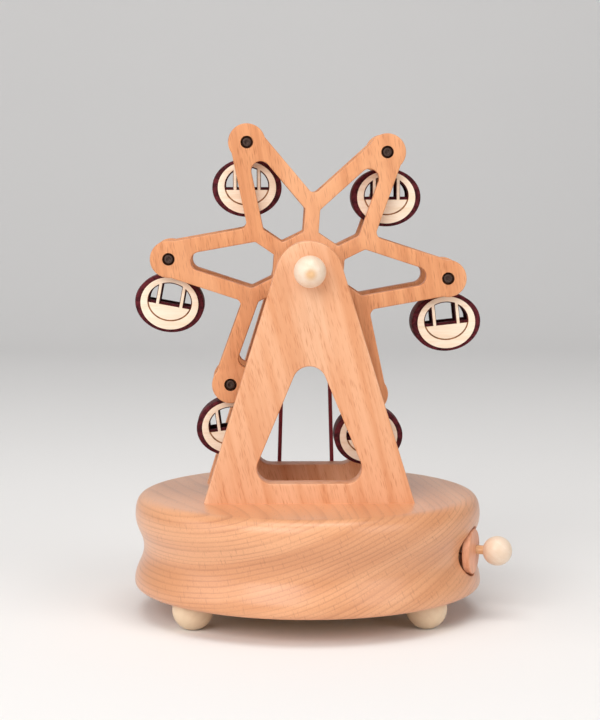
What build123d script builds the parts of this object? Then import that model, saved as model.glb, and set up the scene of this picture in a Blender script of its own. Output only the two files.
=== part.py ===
from build123d import *
import math
import os

os.makedirs("parts", exist_ok=True)

# A hand-cranked wooden music box with a ferris wheel on top. Millimetres, +Z up, -Y is the front.
# The origin is on the table, under the middle of the object's outline. The base's own axis stands
# a little to the left of it, because the crank knob reaches out on the right.

# ---------------------------------------------------------------- fits and clearances
RUN_GAP = 0.05        # radial running clearance of a shaft or pin in its bore
SEAT_GAP = 0.02       # radial gap of a piece that is fixed in its hole
END_GAP = 0.3         # end play between a turning piece and a fixed one

# ---------------------------------------------------------------- base
BASE_BOTTOM = 8.4     # underside of the turned base
BASE_TOP = 37.8       # flat top of the base
LOWER_R = 55.0        # lower bulge
LOWER_ROUND = 1.8
WAIST_R = 52.1
WAIST_Z = 21.2
UPPER_R = 54.7        # upper bulge
UPPER_Z = 31.4
TOP_FLAT_R = 49.7
POCKET_R = 34.5       # hollow for the movement
TOP_WALL = 5.4
COVER_R = 38.3
COVER_T = 2.6
COVER_GAP = 0.1
COVER_SCREW_CIRCLE_R = 36.5

FOOT_R = 6.35         # ball feet
FOOT_FLAT_R = 1.5     # flat that each ball stands on
FOOT_X = 35.7
FOOT_Y = 28.6

# ---------------------------------------------------------------- A-frames
FRAME_T = 8.0         # board thickness
FRAME_SPACE = 32.0    # clear space between the two A-frames
FRAME_FOOT_W = 64.8
FRAME_TOP_R = 10.3
FRAME_TOP_DROP = 1.3  # centre of the round top lies this far below the axle
AXLE_RISE = 71.4      # axle above the base top
ARCH_SILL = 6.1       # lower edge of the opening above the base top
ARCH_HALF_W = 16.1
ARCH_CORNER_R = 4.8
ARCH_TOP = 42.3       # top of the opening above the base top
ARCH_TOP_R = 5.2
FRAME_EDGE = 0.5      # softened edges
DOWEL_R = 1.5
DOWEL_X = 24.0
DOWEL_IN_BASE = 3.8
DOWEL_IN_FRAME = 8.0

# ---------------------------------------------------------------- wheel
WHEEL_HALF_DEPTH = 12.0
WHEEL_BOARD_T = 4.5
WHEEL_START_DEG = -4.0
PETALS = 6
PIN_CIRCLE_R = 43.4
LOBE_R = 5.75
NECK_R = 5.25         # the petal is a little narrower than its lobe
NODE_R = 19.4         # where two petals meet
STRUT_HALF_W = 2.35
STRUT_TIP_OFFSET = 3.0
SPOKE_HALF_W = 2.3
PETAL_HOLE_INNER = 10.9
SHOULDER_ROUND = 1.2
INNER_ROUND = 0.8
VALLEY_ROUND = 2.0
WHEEL_EDGE = 0.35
AXLE_R = 2.0
SPOOL_R = 6.0
SPACER_R = 4.6
CAP_R = 4.9           # pale ball on the front end of the axle
CAP_FLAT_R = 2.5

# ---------------------------------------------------------------- gondolas
PIN_R = 0.8
PIN_HEAD_R = 1.35
PIN_HEAD_T = 1.1
COUNTERBORE_R = 1.95
COUNTERBORE_DEPTH = 1.6
GONDOLA_DROP = 14.0   # cabin centre below its pin
DRUM_HALF_W = 10.8
DRUM_HALF_H = 9.05
DRUM_HALF_DEPTH = 5.9
DRUM_PLATE_T = 1.5
DRUM_WALL = 1.9
FACE_T = 0.9
FACE_HALF_W = 9.05
FACE_HALF_H = 8.1
FACE_RING = 2.05
WINDOW_RISE = 0.5      # the windows' oval lies this far above the face's middle
BAR_X = 3.7
BAR_HALF_W = 0.45
DRUM_BAR_HALF_W = 0.65
DRUM_WINDOW_INSET = 0.35
BASKET_TOP = -0.7     # top edge of the basket below the cabin's centre
DRUM_SILL = 0.1
LINE_W = 0.45         # thin burnt line round the basket
LINE_DEPTH = 0.3
EAR_R = 2.6
EAR_HALF_DEPTH = 2.0
# Each cabin sits slightly turned on its hanger. Degrees, counter-clockwise seen from the front.
CABIN_TILT = [6.0, 0.0, 0.0, -10.5, 8.0, 4.0]

# ---------------------------------------------------------------- belt drive
CORD_R = 0.65
CORD_GAP = 0.15       # cord to the floor of its groove
PULLEY_W = 5.0
UPPER_BELT_R = 6.8
UPPER_FLANGE_R = 8.5
LOWER_BELT_R = 9.3
LOWER_FLANGE_R = 10.2
GROOVE_MOUTH = 1.5    # half width of the groove at the rim
BELT_HOLE_R = 1.6

# ---------------------------------------------------------------- crank
CRANK_Z = 21.8
CRANK_AZIMUTH = -20.0
DISC_R = 7.0
DISC_T = 2.4
DISC_BACK_GAP = 2.8    # disc to the floor of its recess
DISC_FACE = 54.7      # outer face of the disc from the base axis
RECESS_R = 7.8
PEG_R = 1.4
PEG_OFFSET = 3.0
PEG_IN_DISC = 2.0
KNOB_R = 4.6
KNOB_CENTRE = 61.25   # from the base axis, along the crank's axis
KNOB_FLAT_R = 2.2
KNOB_BORE = 4.5
SHAFT_R = 1.25
BUSH_R = 2.6
BUSH_IN = 33.0        # inner end of the bushing from the base axis

# ---------------------------------------------------------------- movement
PLATE_T = 1.8
PLATE_X = (-24.0, 18.0)
PLATE_Y = (-13.5, 22.5)
POST_T = 2.0
POST_HALF_W = 3.2
POST_BELOW = 3.0      # post below the shaft's centre
CRANK_POST_AT = 14.0
TENON_HALF_W = 1.6
CYLINDER_R = 6.5
CYLINDER_Y = (2.0, 19.3)
PIN_TRACKS = 17
PINS_PER_TRACK = 3
TUNE_PIN_R = 0.18
TUNE_PIN_H = 0.5
COMB_GAP = 0.15
COMB_T = 1.0
COMB_BACK_X = -24.0
COMB_LAND = 5.5       # solid back of the comb
COMB_SLOT = 0.35
PEDESTAL_W = 5.0
SCREW_R = 1.0
SCREW_HEAD_R = 1.9
SCREW_HEAD_T = 1.2
SCREW_DEPTH = 4.0
PLATE_SCREW_X = 13.0
PLATE_SCREW_Y = (-11.3, 16.5)
COMB_SCREW_Y = (6.0, 15.3)

# bevel pair: pinion on the crank shaft, gear on the drum arbor
PINION_TEETH = 10
GEAR_TEETH = 30
GEAR_PITCH_R = 8.1
TOOTH_FACE_W = 2.6
HUB_LEAD = 0.3        # the hub's cone starts this far inside the teeth
TOOTH_ADDENDUM = 0.36
TOOTH_DEDENDUM = 0.52
TOOTH_SHARE = 0.38    # tooth width at the pitch cone, share of the pitch
TOOTH_TIP_SHARE = 0.20
TOOTH_ROOT_SHARE = 0.50
GEAR_BACK = 2.6
PINION_BACK = 2.2

# ---------------------------------------------------------------- derived places
CRANK_ANGLE = math.radians(CRANK_AZIMUTH)
KNOB_REACH = KNOB_CENTRE * math.cos(CRANK_ANGLE) - PEG_OFFSET * math.sin(CRANK_ANGLE) + KNOB_R
AXIS_X = (LOWER_R - KNOB_REACH) / 2
AXLE_Z = BASE_TOP + AXLE_RISE
POCKET_TOP = BASE_TOP - TOP_WALL
COVER_TOP = BASE_BOTTOM + COVER_T
FOOT_Z = math.sqrt(FOOT_R**2 - FOOT_FLAT_R**2)
FRAME_IN = FRAME_SPACE / 2
FRAME_OUT = FRAME_IN + FRAME_T
WHEEL_IN = WHEEL_HALF_DEPTH - WHEEL_BOARD_T
PULLEY_FRONT = FRAME_OUT + END_GAP
BELT_Y = PULLEY_FRONT + PULLEY_W / 2
CAP_CENTRE_Y = -(FRAME_OUT + END_GAP + math.sqrt(CAP_R**2 - CAP_FLAT_R**2))
AXLE_FRONT = CAP_CENTRE_Y - CAP_R / 3
RECESS_FLOOR = DISC_FACE - DISC_T - DISC_BACK_GAP
PLATE_Z = POCKET_TOP - PLATE_T
KNOB_SEAT = KNOB_CENTRE - math.sqrt(KNOB_R**2 - KNOB_FLAT_R**2)
CENTRE = (Align.CENTER, Align.CENTER, Align.CENTER)
UPRIGHT = (Align.CENTER, Align.CENTER, Align.MIN)

# Bevel geometry: the two shafts meet on the base axis at the crank's height.
SHAFT_ANGLE = math.radians(90 + CRANK_AZIMUTH)
GEAR_CONE = math.atan2(math.sin(SHAFT_ANGLE), PINION_TEETH / GEAR_TEETH + math.cos(SHAFT_ANGLE))
PINION_CONE = SHAFT_ANGLE - GEAR_CONE
CONE_OUTER = GEAR_PITCH_R / math.sin(GEAR_CONE)
CONE_INNER = CONE_OUTER - TOOTH_FACE_W
CRANK_DIR = Vector(math.cos(CRANK_ANGLE), math.sin(CRANK_ANGLE), 0)
APEX = Vector(AXIS_X, 0, CRANK_Z)


def front_plane(y):
    """Plane seen from the front: x to the right, y up, its normal towards the viewer."""
    return Plane(origin=(AXIS_X, y, 0), x_dir=(1, 0, 0), z_dir=(0, -1, 0))


def crank_plane(distance):
    """Plane across the crank's axis at a distance from the base axis: x to the back, y up."""
    return Plane(
        origin=APEX + CRANK_DIR * distance,
        x_dir=(-math.sin(CRANK_ANGLE), math.cos(CRANK_ANGLE), 0),
        z_dir=CRANK_DIR,
    )


def polar(radius, degrees):
    """Point at a radius and angle, in a plane's own x and y."""
    return (radius * math.cos(math.radians(degrees)), radius * math.sin(math.radians(degrees)))


def save(piece, name):
    """Label a finished piece and write its file."""
    piece.part.label = name
    export_step(piece.part, f"parts/{name}.step")


# ================================================================ base
def belt_x(z):
    """Distance of the belt's straight runs from the middle, at a height."""
    slope = math.asin((LOWER_BELT_R - UPPER_BELT_R) / (AXLE_Z - CRANK_Z))
    return LOWER_BELT_R / math.cos(slope) - (z - CRANK_Z) * math.tan(slope)


foot_places = [(AXIS_X + sx * FOOT_X, sy * FOOT_Y, FOOT_Z) for sy in (-1, 1) for sx in (-1, 1)]
dowel_places = [
    (AXIS_X + sx * DOWEL_X, sy * (FRAME_IN + FRAME_T / 2), BASE_TOP - DOWEL_IN_BASE)
    for sy in (-1, 1)
    for sx in (-1, 1)
]
cover_screw_places = [
    (AXIS_X + x, y, BASE_BOTTOM) for x, y in (polar(COVER_SCREW_CIRCLE_R, 90 * k) for k in range(4))
]
plate_screw_places = [
    (AXIS_X + sx * PLATE_SCREW_X, y, PLATE_Z) for y in PLATE_SCREW_Y for sx in (-1, 1)
]

with BuildPart() as base_body:
    with BuildSketch(front_plane(0)):
        with BuildLine():
            Line((0, BASE_BOTTOM), (LOWER_R - LOWER_ROUND, BASE_BOTTOM))
            TangentArc(
                (LOWER_R - LOWER_ROUND, BASE_BOTTOM), (LOWER_R, BASE_BOTTOM + LOWER_ROUND), tangent=(1, 0)
            )
            Spline(
                (LOWER_R, BASE_BOTTOM + LOWER_ROUND), (WAIST_R, WAIST_Z), (UPPER_R, UPPER_Z),
                tangents=[(0, 1), (0, 1)],
            )
            Bezier(
                (UPPER_R, UPPER_Z),
                (UPPER_R, BASE_TOP - 1.4),
                (UPPER_R - 1.7, BASE_TOP),
                (TOP_FLAT_R, BASE_TOP),
            )
            Line((TOP_FLAT_R, BASE_TOP), (0, BASE_TOP))
            Line((0, BASE_TOP), (0, BASE_BOTTOM))
        make_face()
    revolve(axis=Axis((AXIS_X, 0, 0), (0, 0, 1)))
    # hollow for the movement, with a rebate for the cover
    with BuildSketch(Plane.XY.offset(BASE_BOTTOM)):
        with Locations((AXIS_X, 0)):
            Circle(COVER_R + COVER_GAP)
    extrude(amount=COVER_T, mode=Mode.SUBTRACT)
    with BuildSketch(Plane.XY.offset(COVER_TOP)):
        with Locations((AXIS_X, 0)):
            Circle(POCKET_R)
    extrude(amount=POCKET_TOP - COVER_TOP, mode=Mode.SUBTRACT)
    # round recess and bushing bore of the crank
    with BuildSketch(crank_plane(RECESS_FLOOR)):
        Circle(RECESS_R)
    extrude(amount=LOWER_R - RECESS_FLOOR + RECESS_R, mode=Mode.SUBTRACT)
    with BuildSketch(crank_plane(BUSH_IN - 2)):
        Circle(BUSH_R + SEAT_GAP)
    extrude(amount=RECESS_FLOOR - BUSH_IN + 3, mode=Mode.SUBTRACT)
    with Locations(*foot_places):
        Sphere(FOOT_R + SEAT_GAP, mode=Mode.SUBTRACT)
    with Locations(*[(AXIS_X + s * belt_x(BASE_TOP), BELT_Y, POCKET_TOP - 1) for s in (-1, 1)]):
        Cylinder(BELT_HOLE_R, TOP_WALL + 2, align=UPRIGHT, mode=Mode.SUBTRACT)
    with Locations(*dowel_places):
        Cylinder(DOWEL_R + SEAT_GAP, DOWEL_IN_BASE + 1, align=UPRIGHT, mode=Mode.SUBTRACT)
    with Locations(*cover_screw_places):
        Cylinder(SCREW_R + SEAT_GAP, COVER_T + SCREW_DEPTH, align=UPRIGHT, mode=Mode.SUBTRACT)
    with Locations(*plate_screw_places):
        Cylinder(SCREW_R + SEAT_GAP, PLATE_T + SCREW_DEPTH, align=UPRIGHT, mode=Mode.SUBTRACT)
save(base_body, "base_body")

with BuildPart() as bottom_cover:
    with BuildSketch(Plane.XY.offset(BASE_BOTTOM)):
        with Locations((AXIS_X, 0)):
            Circle(COVER_R)
    extrude(amount=COVER_T)
    with Locations(*cover_screw_places):
        Cylinder(SCREW_HEAD_R + RUN_GAP, SCREW_HEAD_T, align=UPRIGHT, mode=Mode.SUBTRACT)
        Cylinder(SCREW_R + RUN_GAP, COVER_T, align=UPRIGHT, mode=Mode.SUBTRACT)
save(bottom_cover, "bottom_cover")

with BuildPart() as cover_screws:
    with Locations(*cover_screw_places):
        Cylinder(SCREW_HEAD_R, SCREW_HEAD_T, align=UPRIGHT)
        Cylinder(SCREW_R, COVER_T + SCREW_DEPTH - 0.5, align=UPRIGHT)
        Box(0.5, 2.4, 1.2, align=CENTRE, mode=Mode.SUBTRACT)
save(cover_screws, "cover_screws")

for number, place in enumerate(foot_places, start=1):
    with BuildPart() as foot:
        with Locations(place):
            Sphere(FOOT_R)
        with Locations((place[0], place[1], 0)):
            Box(2 * FOOT_R, 2 * FOOT_R, FOOT_R, align=(Align.CENTER, Align.CENTER, Align.MAX),
                mode=Mode.SUBTRACT)
    save(foot, f"foot_{number}")


# ================================================================ A-frames
def make_a_frame(front_y):
    """One A-frame board. front_y is the y of its front face."""
    arch_side = ARCH_HALF_W - ARCH_CORNER_R
    arch_low = BASE_TOP + ARCH_SILL + ARCH_CORNER_R
    with BuildPart() as board:
        with BuildSketch(front_plane(front_y + FRAME_T)):
            with BuildLine():
                CenterArc((0, AXLE_Z - FRAME_TOP_DROP), FRAME_TOP_R, 0, 360)
                Line((-FRAME_FOOT_W / 2, BASE_TOP), (FRAME_FOOT_W / 2, BASE_TOP))
            make_hull()
        extrude(amount=FRAME_T)
        with BuildSketch(front_plane(front_y + FRAME_T)):
            with BuildLine():
                CenterArc((0, BASE_TOP + ARCH_TOP - ARCH_TOP_R), ARCH_TOP_R, 0, 360)
                CenterArc((-arch_side, arch_low), ARCH_CORNER_R, 0, 360)
                CenterArc((arch_side, arch_low), ARCH_CORNER_R, 0, 360)
            make_hull()
        extrude(amount=FRAME_T, mode=Mode.SUBTRACT)
        outline = board.faces().sort_by(Axis.Y)[0].edges() + board.faces().sort_by(Axis.Y)[-1].edges()
        fillet(outline.filter_by(lambda e: e.center().Z > BASE_TOP + 0.01), FRAME_EDGE)
        with BuildSketch(front_plane(front_y + FRAME_T)):
            with Locations((0, AXLE_Z)):
                Circle(AXLE_R + RUN_GAP)
        extrude(amount=FRAME_T, mode=Mode.SUBTRACT)
        with Locations(*[p for p in dowel_places if front_y < p[1] < front_y + FRAME_T]):
            Cylinder(
                DOWEL_R + SEAT_GAP, DOWEL_IN_BASE + DOWEL_IN_FRAME + 0.2, align=UPRIGHT, mode=Mode.SUBTRACT
            )
    return board


front_frame = make_a_frame(-FRAME_OUT)
save(front_frame, "front_a_frame")
rear_frame = make_a_frame(FRAME_IN)
save(rear_frame, "rear_a_frame")

with BuildPart() as frame_dowels:
    with Locations(*dowel_places):
        Cylinder(DOWEL_R, DOWEL_IN_BASE + DOWEL_IN_FRAME, align=UPRIGHT)
save(frame_dowels, "frame_dowels")


# ================================================================ wheel
def strut_edge(offset):
    """Strut edge in a petal's own axes, as (slope, height at x = 0), moved off the strut's middle."""
    node = polar(NODE_R, 180 / PETALS)
    slope = (STRUT_TIP_OFFSET - node[1]) / (PIN_CIRCLE_R - node[0])
    return slope, node[1] - slope * node[0] + offset * math.hypot(1, slope)


def spoke_edge(offset):
    """Spoke edge in a petal's own axes, as (slope, height at x = 0), moved off the spoke's middle."""
    slope = math.tan(math.pi / PETALS)
    return slope, offset * math.hypot(1, slope)


def petal_hole_circles():
    """Circles whose hull is the hole of a petal lying along +x, as (x, y, radius)."""
    slope, height = strut_edge(-STRUT_HALF_W)
    tip_x = PIN_CIRCLE_R - 9.8
    tip_r = (height + slope * tip_x) / math.hypot(1, slope)
    strut = strut_edge(-STRUT_HALF_W - SHOULDER_ROUND)
    spoke = spoke_edge(-SPOKE_HALF_W - SHOULDER_ROUND)
    shoulder_x = (strut[1] - spoke[1]) / (spoke[0] - strut[0])
    shoulder_y = spoke[1] + spoke[0] * shoulder_x
    inner = spoke_edge(-SPOKE_HALF_W - INNER_ROUND)
    inner_x = PETAL_HOLE_INNER + INNER_ROUND
    inner_y = inner[1] + inner[0] * inner_x
    circles = [(tip_x, 0, tip_r)]
    circles += [(shoulder_x, side * shoulder_y, SHOULDER_ROUND) for side in (-1, 1)]
    circles += [(inner_x, side * inner_y, INNER_ROUND) for side in (-1, 1)]
    return circles


def turned_circle(x, y, radius, degrees):
    """Circle of a petal, turned about the hub and put at the axle's height."""
    turn = math.radians(degrees)
    at = (x * math.cos(turn) - y * math.sin(turn), x * math.sin(turn) + y * math.cos(turn) + AXLE_Z)
    CenterArc(at, radius, 0, 360)


petal_angles = [WHEEL_START_DEG + 360 / PETALS * k for k in range(PETALS)]
pin_places = [(polar(PIN_CIRCLE_R, a)[0], polar(PIN_CIRCLE_R, a)[1] + AXLE_Z) for a in petal_angles]


def is_valley(edge):
    """True for the outline's inward corner between two petals."""
    middle = edge.center()
    return NODE_R + 1 < math.hypot(middle.X - AXIS_X, middle.Z - AXLE_Z) < NODE_R + 6


def make_wheel_frame(front_y, head_side):
    """One six-petal board. head_side is -1 if the pin heads lie in its front face, 1 in its back."""
    node = polar(NODE_R, 180 / PETALS)
    back = front_plane(front_y + WHEEL_BOARD_T)
    with BuildPart() as board:
        with BuildSketch(back):
            with Locations((0, AXLE_Z)):
                RegularPolygon(NODE_R, PETALS, rotation=WHEEL_START_DEG + 180 / PETALS)
        extrude(amount=WHEEL_BOARD_T)
        for angle in petal_angles:
            with BuildSketch(back):
                with BuildLine():
                    turned_circle(PIN_CIRCLE_R, 0, NECK_R, angle)
                    turned_circle(node[0], node[1], STRUT_HALF_W, angle)
                    turned_circle(node[0], -node[1], STRUT_HALF_W, angle)
                make_hull()
            extrude(amount=WHEEL_BOARD_T)
        fillet(board.edges().filter_by(Axis.Y).filter_by(is_valley), VALLEY_ROUND)
        with BuildSketch(back):
            with Locations(*pin_places):
                Circle(LOBE_R)
        extrude(amount=WHEEL_BOARD_T)
        for angle in petal_angles:
            with BuildSketch(front_plane(front_y + WHEEL_BOARD_T)):
                with BuildLine():
                    for circle in petal_hole_circles():
                        turned_circle(*circle, angle)
                make_hull()
            extrude(amount=WHEEL_BOARD_T, mode=Mode.SUBTRACT)
        rims = board.faces().sort_by(Axis.Y)[0].edges() + board.faces().sort_by(Axis.Y)[-1].edges()
        chamfer(rims, WHEEL_EDGE)
        head_y = front_y + COUNTERBORE_DEPTH if head_side < 0 else front_y + WHEEL_BOARD_T
        with BuildSketch(front_plane(head_y)):
            with Locations(*pin_places):
                Circle(COUNTERBORE_R)
        extrude(amount=COUNTERBORE_DEPTH, mode=Mode.SUBTRACT)
        with BuildSketch(front_plane(front_y + WHEEL_BOARD_T)):
            with Locations(*pin_places):
                Circle(PIN_R + SEAT_GAP)
            with Locations((0, AXLE_Z)):
                Circle(AXLE_R + SEAT_GAP)
        extrude(amount=WHEEL_BOARD_T, mode=Mode.SUBTRACT)
    return board


wheel_front = make_wheel_frame(-WHEEL_HALF_DEPTH, -1)
save(wheel_front, "wheel_front_frame")
wheel_rear = make_wheel_frame(WHEEL_IN, 1)
save(wheel_rear, "wheel_rear_frame")

with BuildPart() as gondola_pins:
    pin_end = WHEEL_HALF_DEPTH - COUNTERBORE_DEPTH
    for pin_x, pin_z in pin_places:
        with Locations(Location((AXIS_X + pin_x, 0, pin_z), (90, 0, 0))):
            Cylinder(PIN_R, 2 * pin_end, align=CENTRE)
        for side in (-1, 1):
            head_at = (AXIS_X + pin_x, side * (pin_end + PIN_HEAD_T / 2), pin_z)
            with Locations(Location(head_at, (90, 0, 0))):
                Cylinder(PIN_HEAD_R, PIN_HEAD_T, align=CENTRE)
                if side < 0:
                    with Locations((0, 0, PIN_HEAD_T / 2)):
                        Cylinder(PIN_HEAD_R * 0.45, PIN_HEAD_T, align=CENTRE, mode=Mode.SUBTRACT)
save(gondola_pins, "gondola_pins")


def ring_piece(outer_r, inner_r, front_y, length):
    """Plain sleeve on the axle."""
    with BuildPart() as sleeve:
        with BuildSketch(front_plane(front_y + length)):
            with Locations((0, AXLE_Z)):
                Circle(outer_r)
                Circle(inner_r, mode=Mode.SUBTRACT)
        extrude(amount=length)
        chamfer(sleeve.edges().filter_by(GeomType.CIRCLE).sort_by(SortBy.RADIUS)[-2:], 0.3)
    return sleeve


hub_spool = ring_piece(SPOOL_R, AXLE_R + SEAT_GAP, -WHEEL_IN, 2 * WHEEL_IN)
save(hub_spool, "hub_spool")
SPACER_L = FRAME_IN - WHEEL_HALF_DEPTH - END_GAP
front_spacer = ring_piece(SPACER_R, AXLE_R + SEAT_GAP, -WHEEL_HALF_DEPTH - SPACER_L, SPACER_L)
save(front_spacer, "front_spacer")
rear_spacer = ring_piece(SPACER_R, AXLE_R + SEAT_GAP, WHEEL_HALF_DEPTH, SPACER_L)
save(rear_spacer, "rear_spacer")

with BuildPart() as wheel_axle:
    with BuildSketch(front_plane(PULLEY_FRONT + PULLEY_W)):
        with Locations((0, AXLE_Z)):
            Circle(AXLE_R)
    extrude(amount=PULLEY_FRONT + PULLEY_W - AXLE_FRONT)
save(wheel_axle, "wheel_axle")

with BuildPart() as axle_cap:
    with Locations((AXIS_X, CAP_CENTRE_Y, AXLE_Z)):
        Sphere(CAP_R)
    with Locations((AXIS_X, -FRAME_OUT - END_GAP, AXLE_Z)):
        Box(2 * CAP_R, CAP_R, 2 * CAP_R, align=(Align.CENTER, Align.MIN, Align.CENTER), mode=Mode.SUBTRACT)
    with BuildSketch(front_plane(-FRAME_OUT)):
        with Locations((0, AXLE_Z)):
            Circle(AXLE_R + SEAT_GAP)
    extrude(amount=-FRAME_OUT - AXLE_FRONT + SEAT_GAP, mode=Mode.SUBTRACT)
save(axle_cap, "axle_cap")


def make_pulley(centre_z, belt_r, flange_r, bore_r):
    """Grooved pulley in the belt's plane, revolved about its own axle."""
    floor = belt_r - CORD_R - CORD_GAP
    half = CORD_R + CORD_GAP
    with BuildPart() as pulley:
        with BuildSketch(Plane(origin=(AXIS_X, BELT_Y, centre_z), x_dir=(1, 0, 0), z_dir=(0, 0, -1))):
            with BuildLine():
                Polyline(
                    (bore_r, -PULLEY_W / 2), (flange_r, -PULLEY_W / 2), (flange_r, -GROOVE_MOUTH),
                    (belt_r, -half), (floor, -half), (floor, half), (belt_r, half),
                    (flange_r, GROOVE_MOUTH), (flange_r, PULLEY_W / 2), (bore_r, PULLEY_W / 2),
                    close=True,
                )
            make_face()
        revolve(axis=Axis((AXIS_X, BELT_Y, centre_z), (0, 1, 0)))
    return pulley


upper_pulley = make_pulley(AXLE_Z, UPPER_BELT_R, UPPER_FLANGE_R, AXLE_R + SEAT_GAP)
save(upper_pulley, "upper_pulley")
lower_pulley = make_pulley(CRANK_Z, LOWER_BELT_R, LOWER_FLANGE_R, SHAFT_R + SEAT_GAP)
save(lower_pulley, "lower_pulley")

# The belt is a closed loop: two arcs round the pulleys and the two straight runs between them.
belt_lean = math.degrees(math.asin((LOWER_BELT_R - UPPER_BELT_R) / (AXLE_Z - CRANK_Z)))


def on_pulley(radius, centre_z, degrees):
    """Point of the belt's middle line on a pulley."""
    x, z = polar(radius, degrees)
    return (x, z + centre_z)


with BuildPart() as belt:
    with BuildLine(front_plane(BELT_Y)) as belt_path:
        right_run = Line(
            on_pulley(LOWER_BELT_R, CRANK_Z, belt_lean), on_pulley(UPPER_BELT_R, AXLE_Z, belt_lean)
        )
        CenterArc((0, AXLE_Z), UPPER_BELT_R, belt_lean, 180 - 2 * belt_lean)
        Line(
            on_pulley(UPPER_BELT_R, AXLE_Z, 180 - belt_lean), on_pulley(LOWER_BELT_R, CRANK_Z, 180 - belt_lean)
        )
        CenterArc((0, CRANK_Z), LOWER_BELT_R, 180 - belt_lean, 180 + 2 * belt_lean)
    with BuildSketch(Plane(origin=right_run @ 0, z_dir=right_run % 0)):
        Circle(CORD_R)
    sweep(path=belt_path.wires()[0])
save(belt, "drive_belt")


# ================================================================ gondolas
def cabin_windows(ring_w, ring_h, bar_half_w, sill):
    """Three windows: the upper part of an oval, less two upright bars. For use inside a sketch."""
    with Locations((0, WINDOW_RISE)):
        Ellipse(ring_w, ring_h)
    with Locations((0, sill)):
        Rectangle(4 * ring_w, 4 * ring_h, align=(Align.CENTER, Align.MAX), mode=Mode.SUBTRACT)
    with Locations((-BAR_X, 0), (BAR_X, 0)):
        Rectangle(2 * bar_half_w, 4 * ring_h, mode=Mode.SUBTRACT)


def cabin_plane(pin, tilt, y):
    """Front-facing plane at a cabin's centre, turned by the cabin's tilt."""
    across = polar(1, tilt)
    return Plane(
        origin=(AXIS_X + pin[0], y, pin[1] - GONDOLA_DROP),
        x_dir=(across[0], 0, across[1]),
        z_dir=(0, -1, 0),
    )


def make_drum(pin, tilt):
    """Hollow oval cabin body with a hanger that turns on the pin."""
    depth = 2 * DRUM_HALF_DEPTH
    ring_w = FACE_HALF_W - FACE_RING - DRUM_WINDOW_INSET
    ring_h = FACE_HALF_H - FACE_RING - DRUM_WINDOW_INSET
    with BuildPart() as drum:
        with BuildSketch(cabin_plane(pin, tilt, DRUM_HALF_DEPTH)):
            Ellipse(DRUM_HALF_W, DRUM_HALF_H)
        extrude(amount=depth)
        with BuildSketch(front_plane(EAR_HALF_DEPTH)):
            with BuildLine():
                CenterArc(pin, EAR_R, 0, 360)
                CenterArc((pin[0], pin[1] - GONDOLA_DROP + DRUM_HALF_H - EAR_R), EAR_R, 0, 360)
            make_hull()
        extrude(amount=2 * EAR_HALF_DEPTH)
        with BuildSketch(cabin_plane(pin, tilt, DRUM_HALF_DEPTH - DRUM_PLATE_T)):
            Ellipse(DRUM_HALF_W - DRUM_WALL, DRUM_HALF_H - DRUM_WALL)
        extrude(amount=depth - 2 * DRUM_PLATE_T, mode=Mode.SUBTRACT)
        with BuildSketch(cabin_plane(pin, tilt, DRUM_HALF_DEPTH)):
            cabin_windows(ring_w, ring_h, DRUM_BAR_HALF_W, DRUM_SILL)
        extrude(amount=depth, mode=Mode.SUBTRACT)
        with BuildSketch(front_plane(EAR_HALF_DEPTH)):
            with Locations(pin):
                Circle(PIN_R + RUN_GAP)
        extrude(amount=2 * EAR_HALF_DEPTH, mode=Mode.SUBTRACT)
    return drum


def make_cabin_face(pin, tilt, side):
    """Pale face plate: ring, basket and two bars, with the burnt line round the basket."""
    ring_w = FACE_HALF_W - FACE_RING
    ring_h = FACE_HALF_H - FACE_RING
    back = cabin_plane(pin, tilt, DRUM_HALF_DEPTH * side + (FACE_T if side > 0 else 0))
    line_y = side * (DRUM_HALF_DEPTH + FACE_T) + (LINE_DEPTH if side < 0 else 0)
    with BuildPart() as face:
        with BuildSketch(back):
            Ellipse(FACE_HALF_W, FACE_HALF_H)
        extrude(amount=FACE_T)
        with BuildSketch(back):
            cabin_windows(ring_w, ring_h, BAR_HALF_W, BASKET_TOP)
        extrude(amount=FACE_T, mode=Mode.SUBTRACT)
        with BuildSketch(cabin_plane(pin, tilt, line_y)):
            with Locations((0, WINDOW_RISE)):
                Ellipse(ring_w, ring_h)
                Ellipse(ring_w - LINE_W, ring_h - LINE_W, mode=Mode.SUBTRACT)
            with Locations((0, BASKET_TOP)):
                Rectangle(4 * ring_w, 4 * ring_h, align=(Align.CENTER, Align.MIN), mode=Mode.SUBTRACT)
        extrude(amount=LINE_DEPTH, mode=Mode.SUBTRACT)
    return face


for number, (pin, tilt) in enumerate(zip(pin_places, CABIN_TILT), start=1):
    save(make_drum(pin, tilt), f"gondola_{number}_drum")
    save(make_cabin_face(pin, tilt, -1), f"gondola_{number}_front_face")
    save(make_cabin_face(pin, tilt, 1), f"gondola_{number}_rear_face")


# ================================================================ crank
def crank_round(radius, start, end, offset=0.0, bore=0.0):
    """Round piece along the crank's axis between two distances from the base axis."""
    with BuildPart() as piece:
        with BuildSketch(crank_plane(start)):
            with Locations((offset, 0)):
                Circle(radius)
                if bore:
                    Circle(bore, mode=Mode.SUBTRACT)
        extrude(amount=end - start)
    return piece


SHAFT_END = DISC_FACE - 1.0
crank_shaft = crank_round(SHAFT_R, CONE_INNER * math.cos(PINION_CONE), SHAFT_END)
save(crank_shaft, "crank_shaft")
crank_bushing = crank_round(BUSH_R, BUSH_IN, RECESS_FLOOR, bore=SHAFT_R + RUN_GAP)
save(crank_bushing, "crank_bushing")

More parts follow.
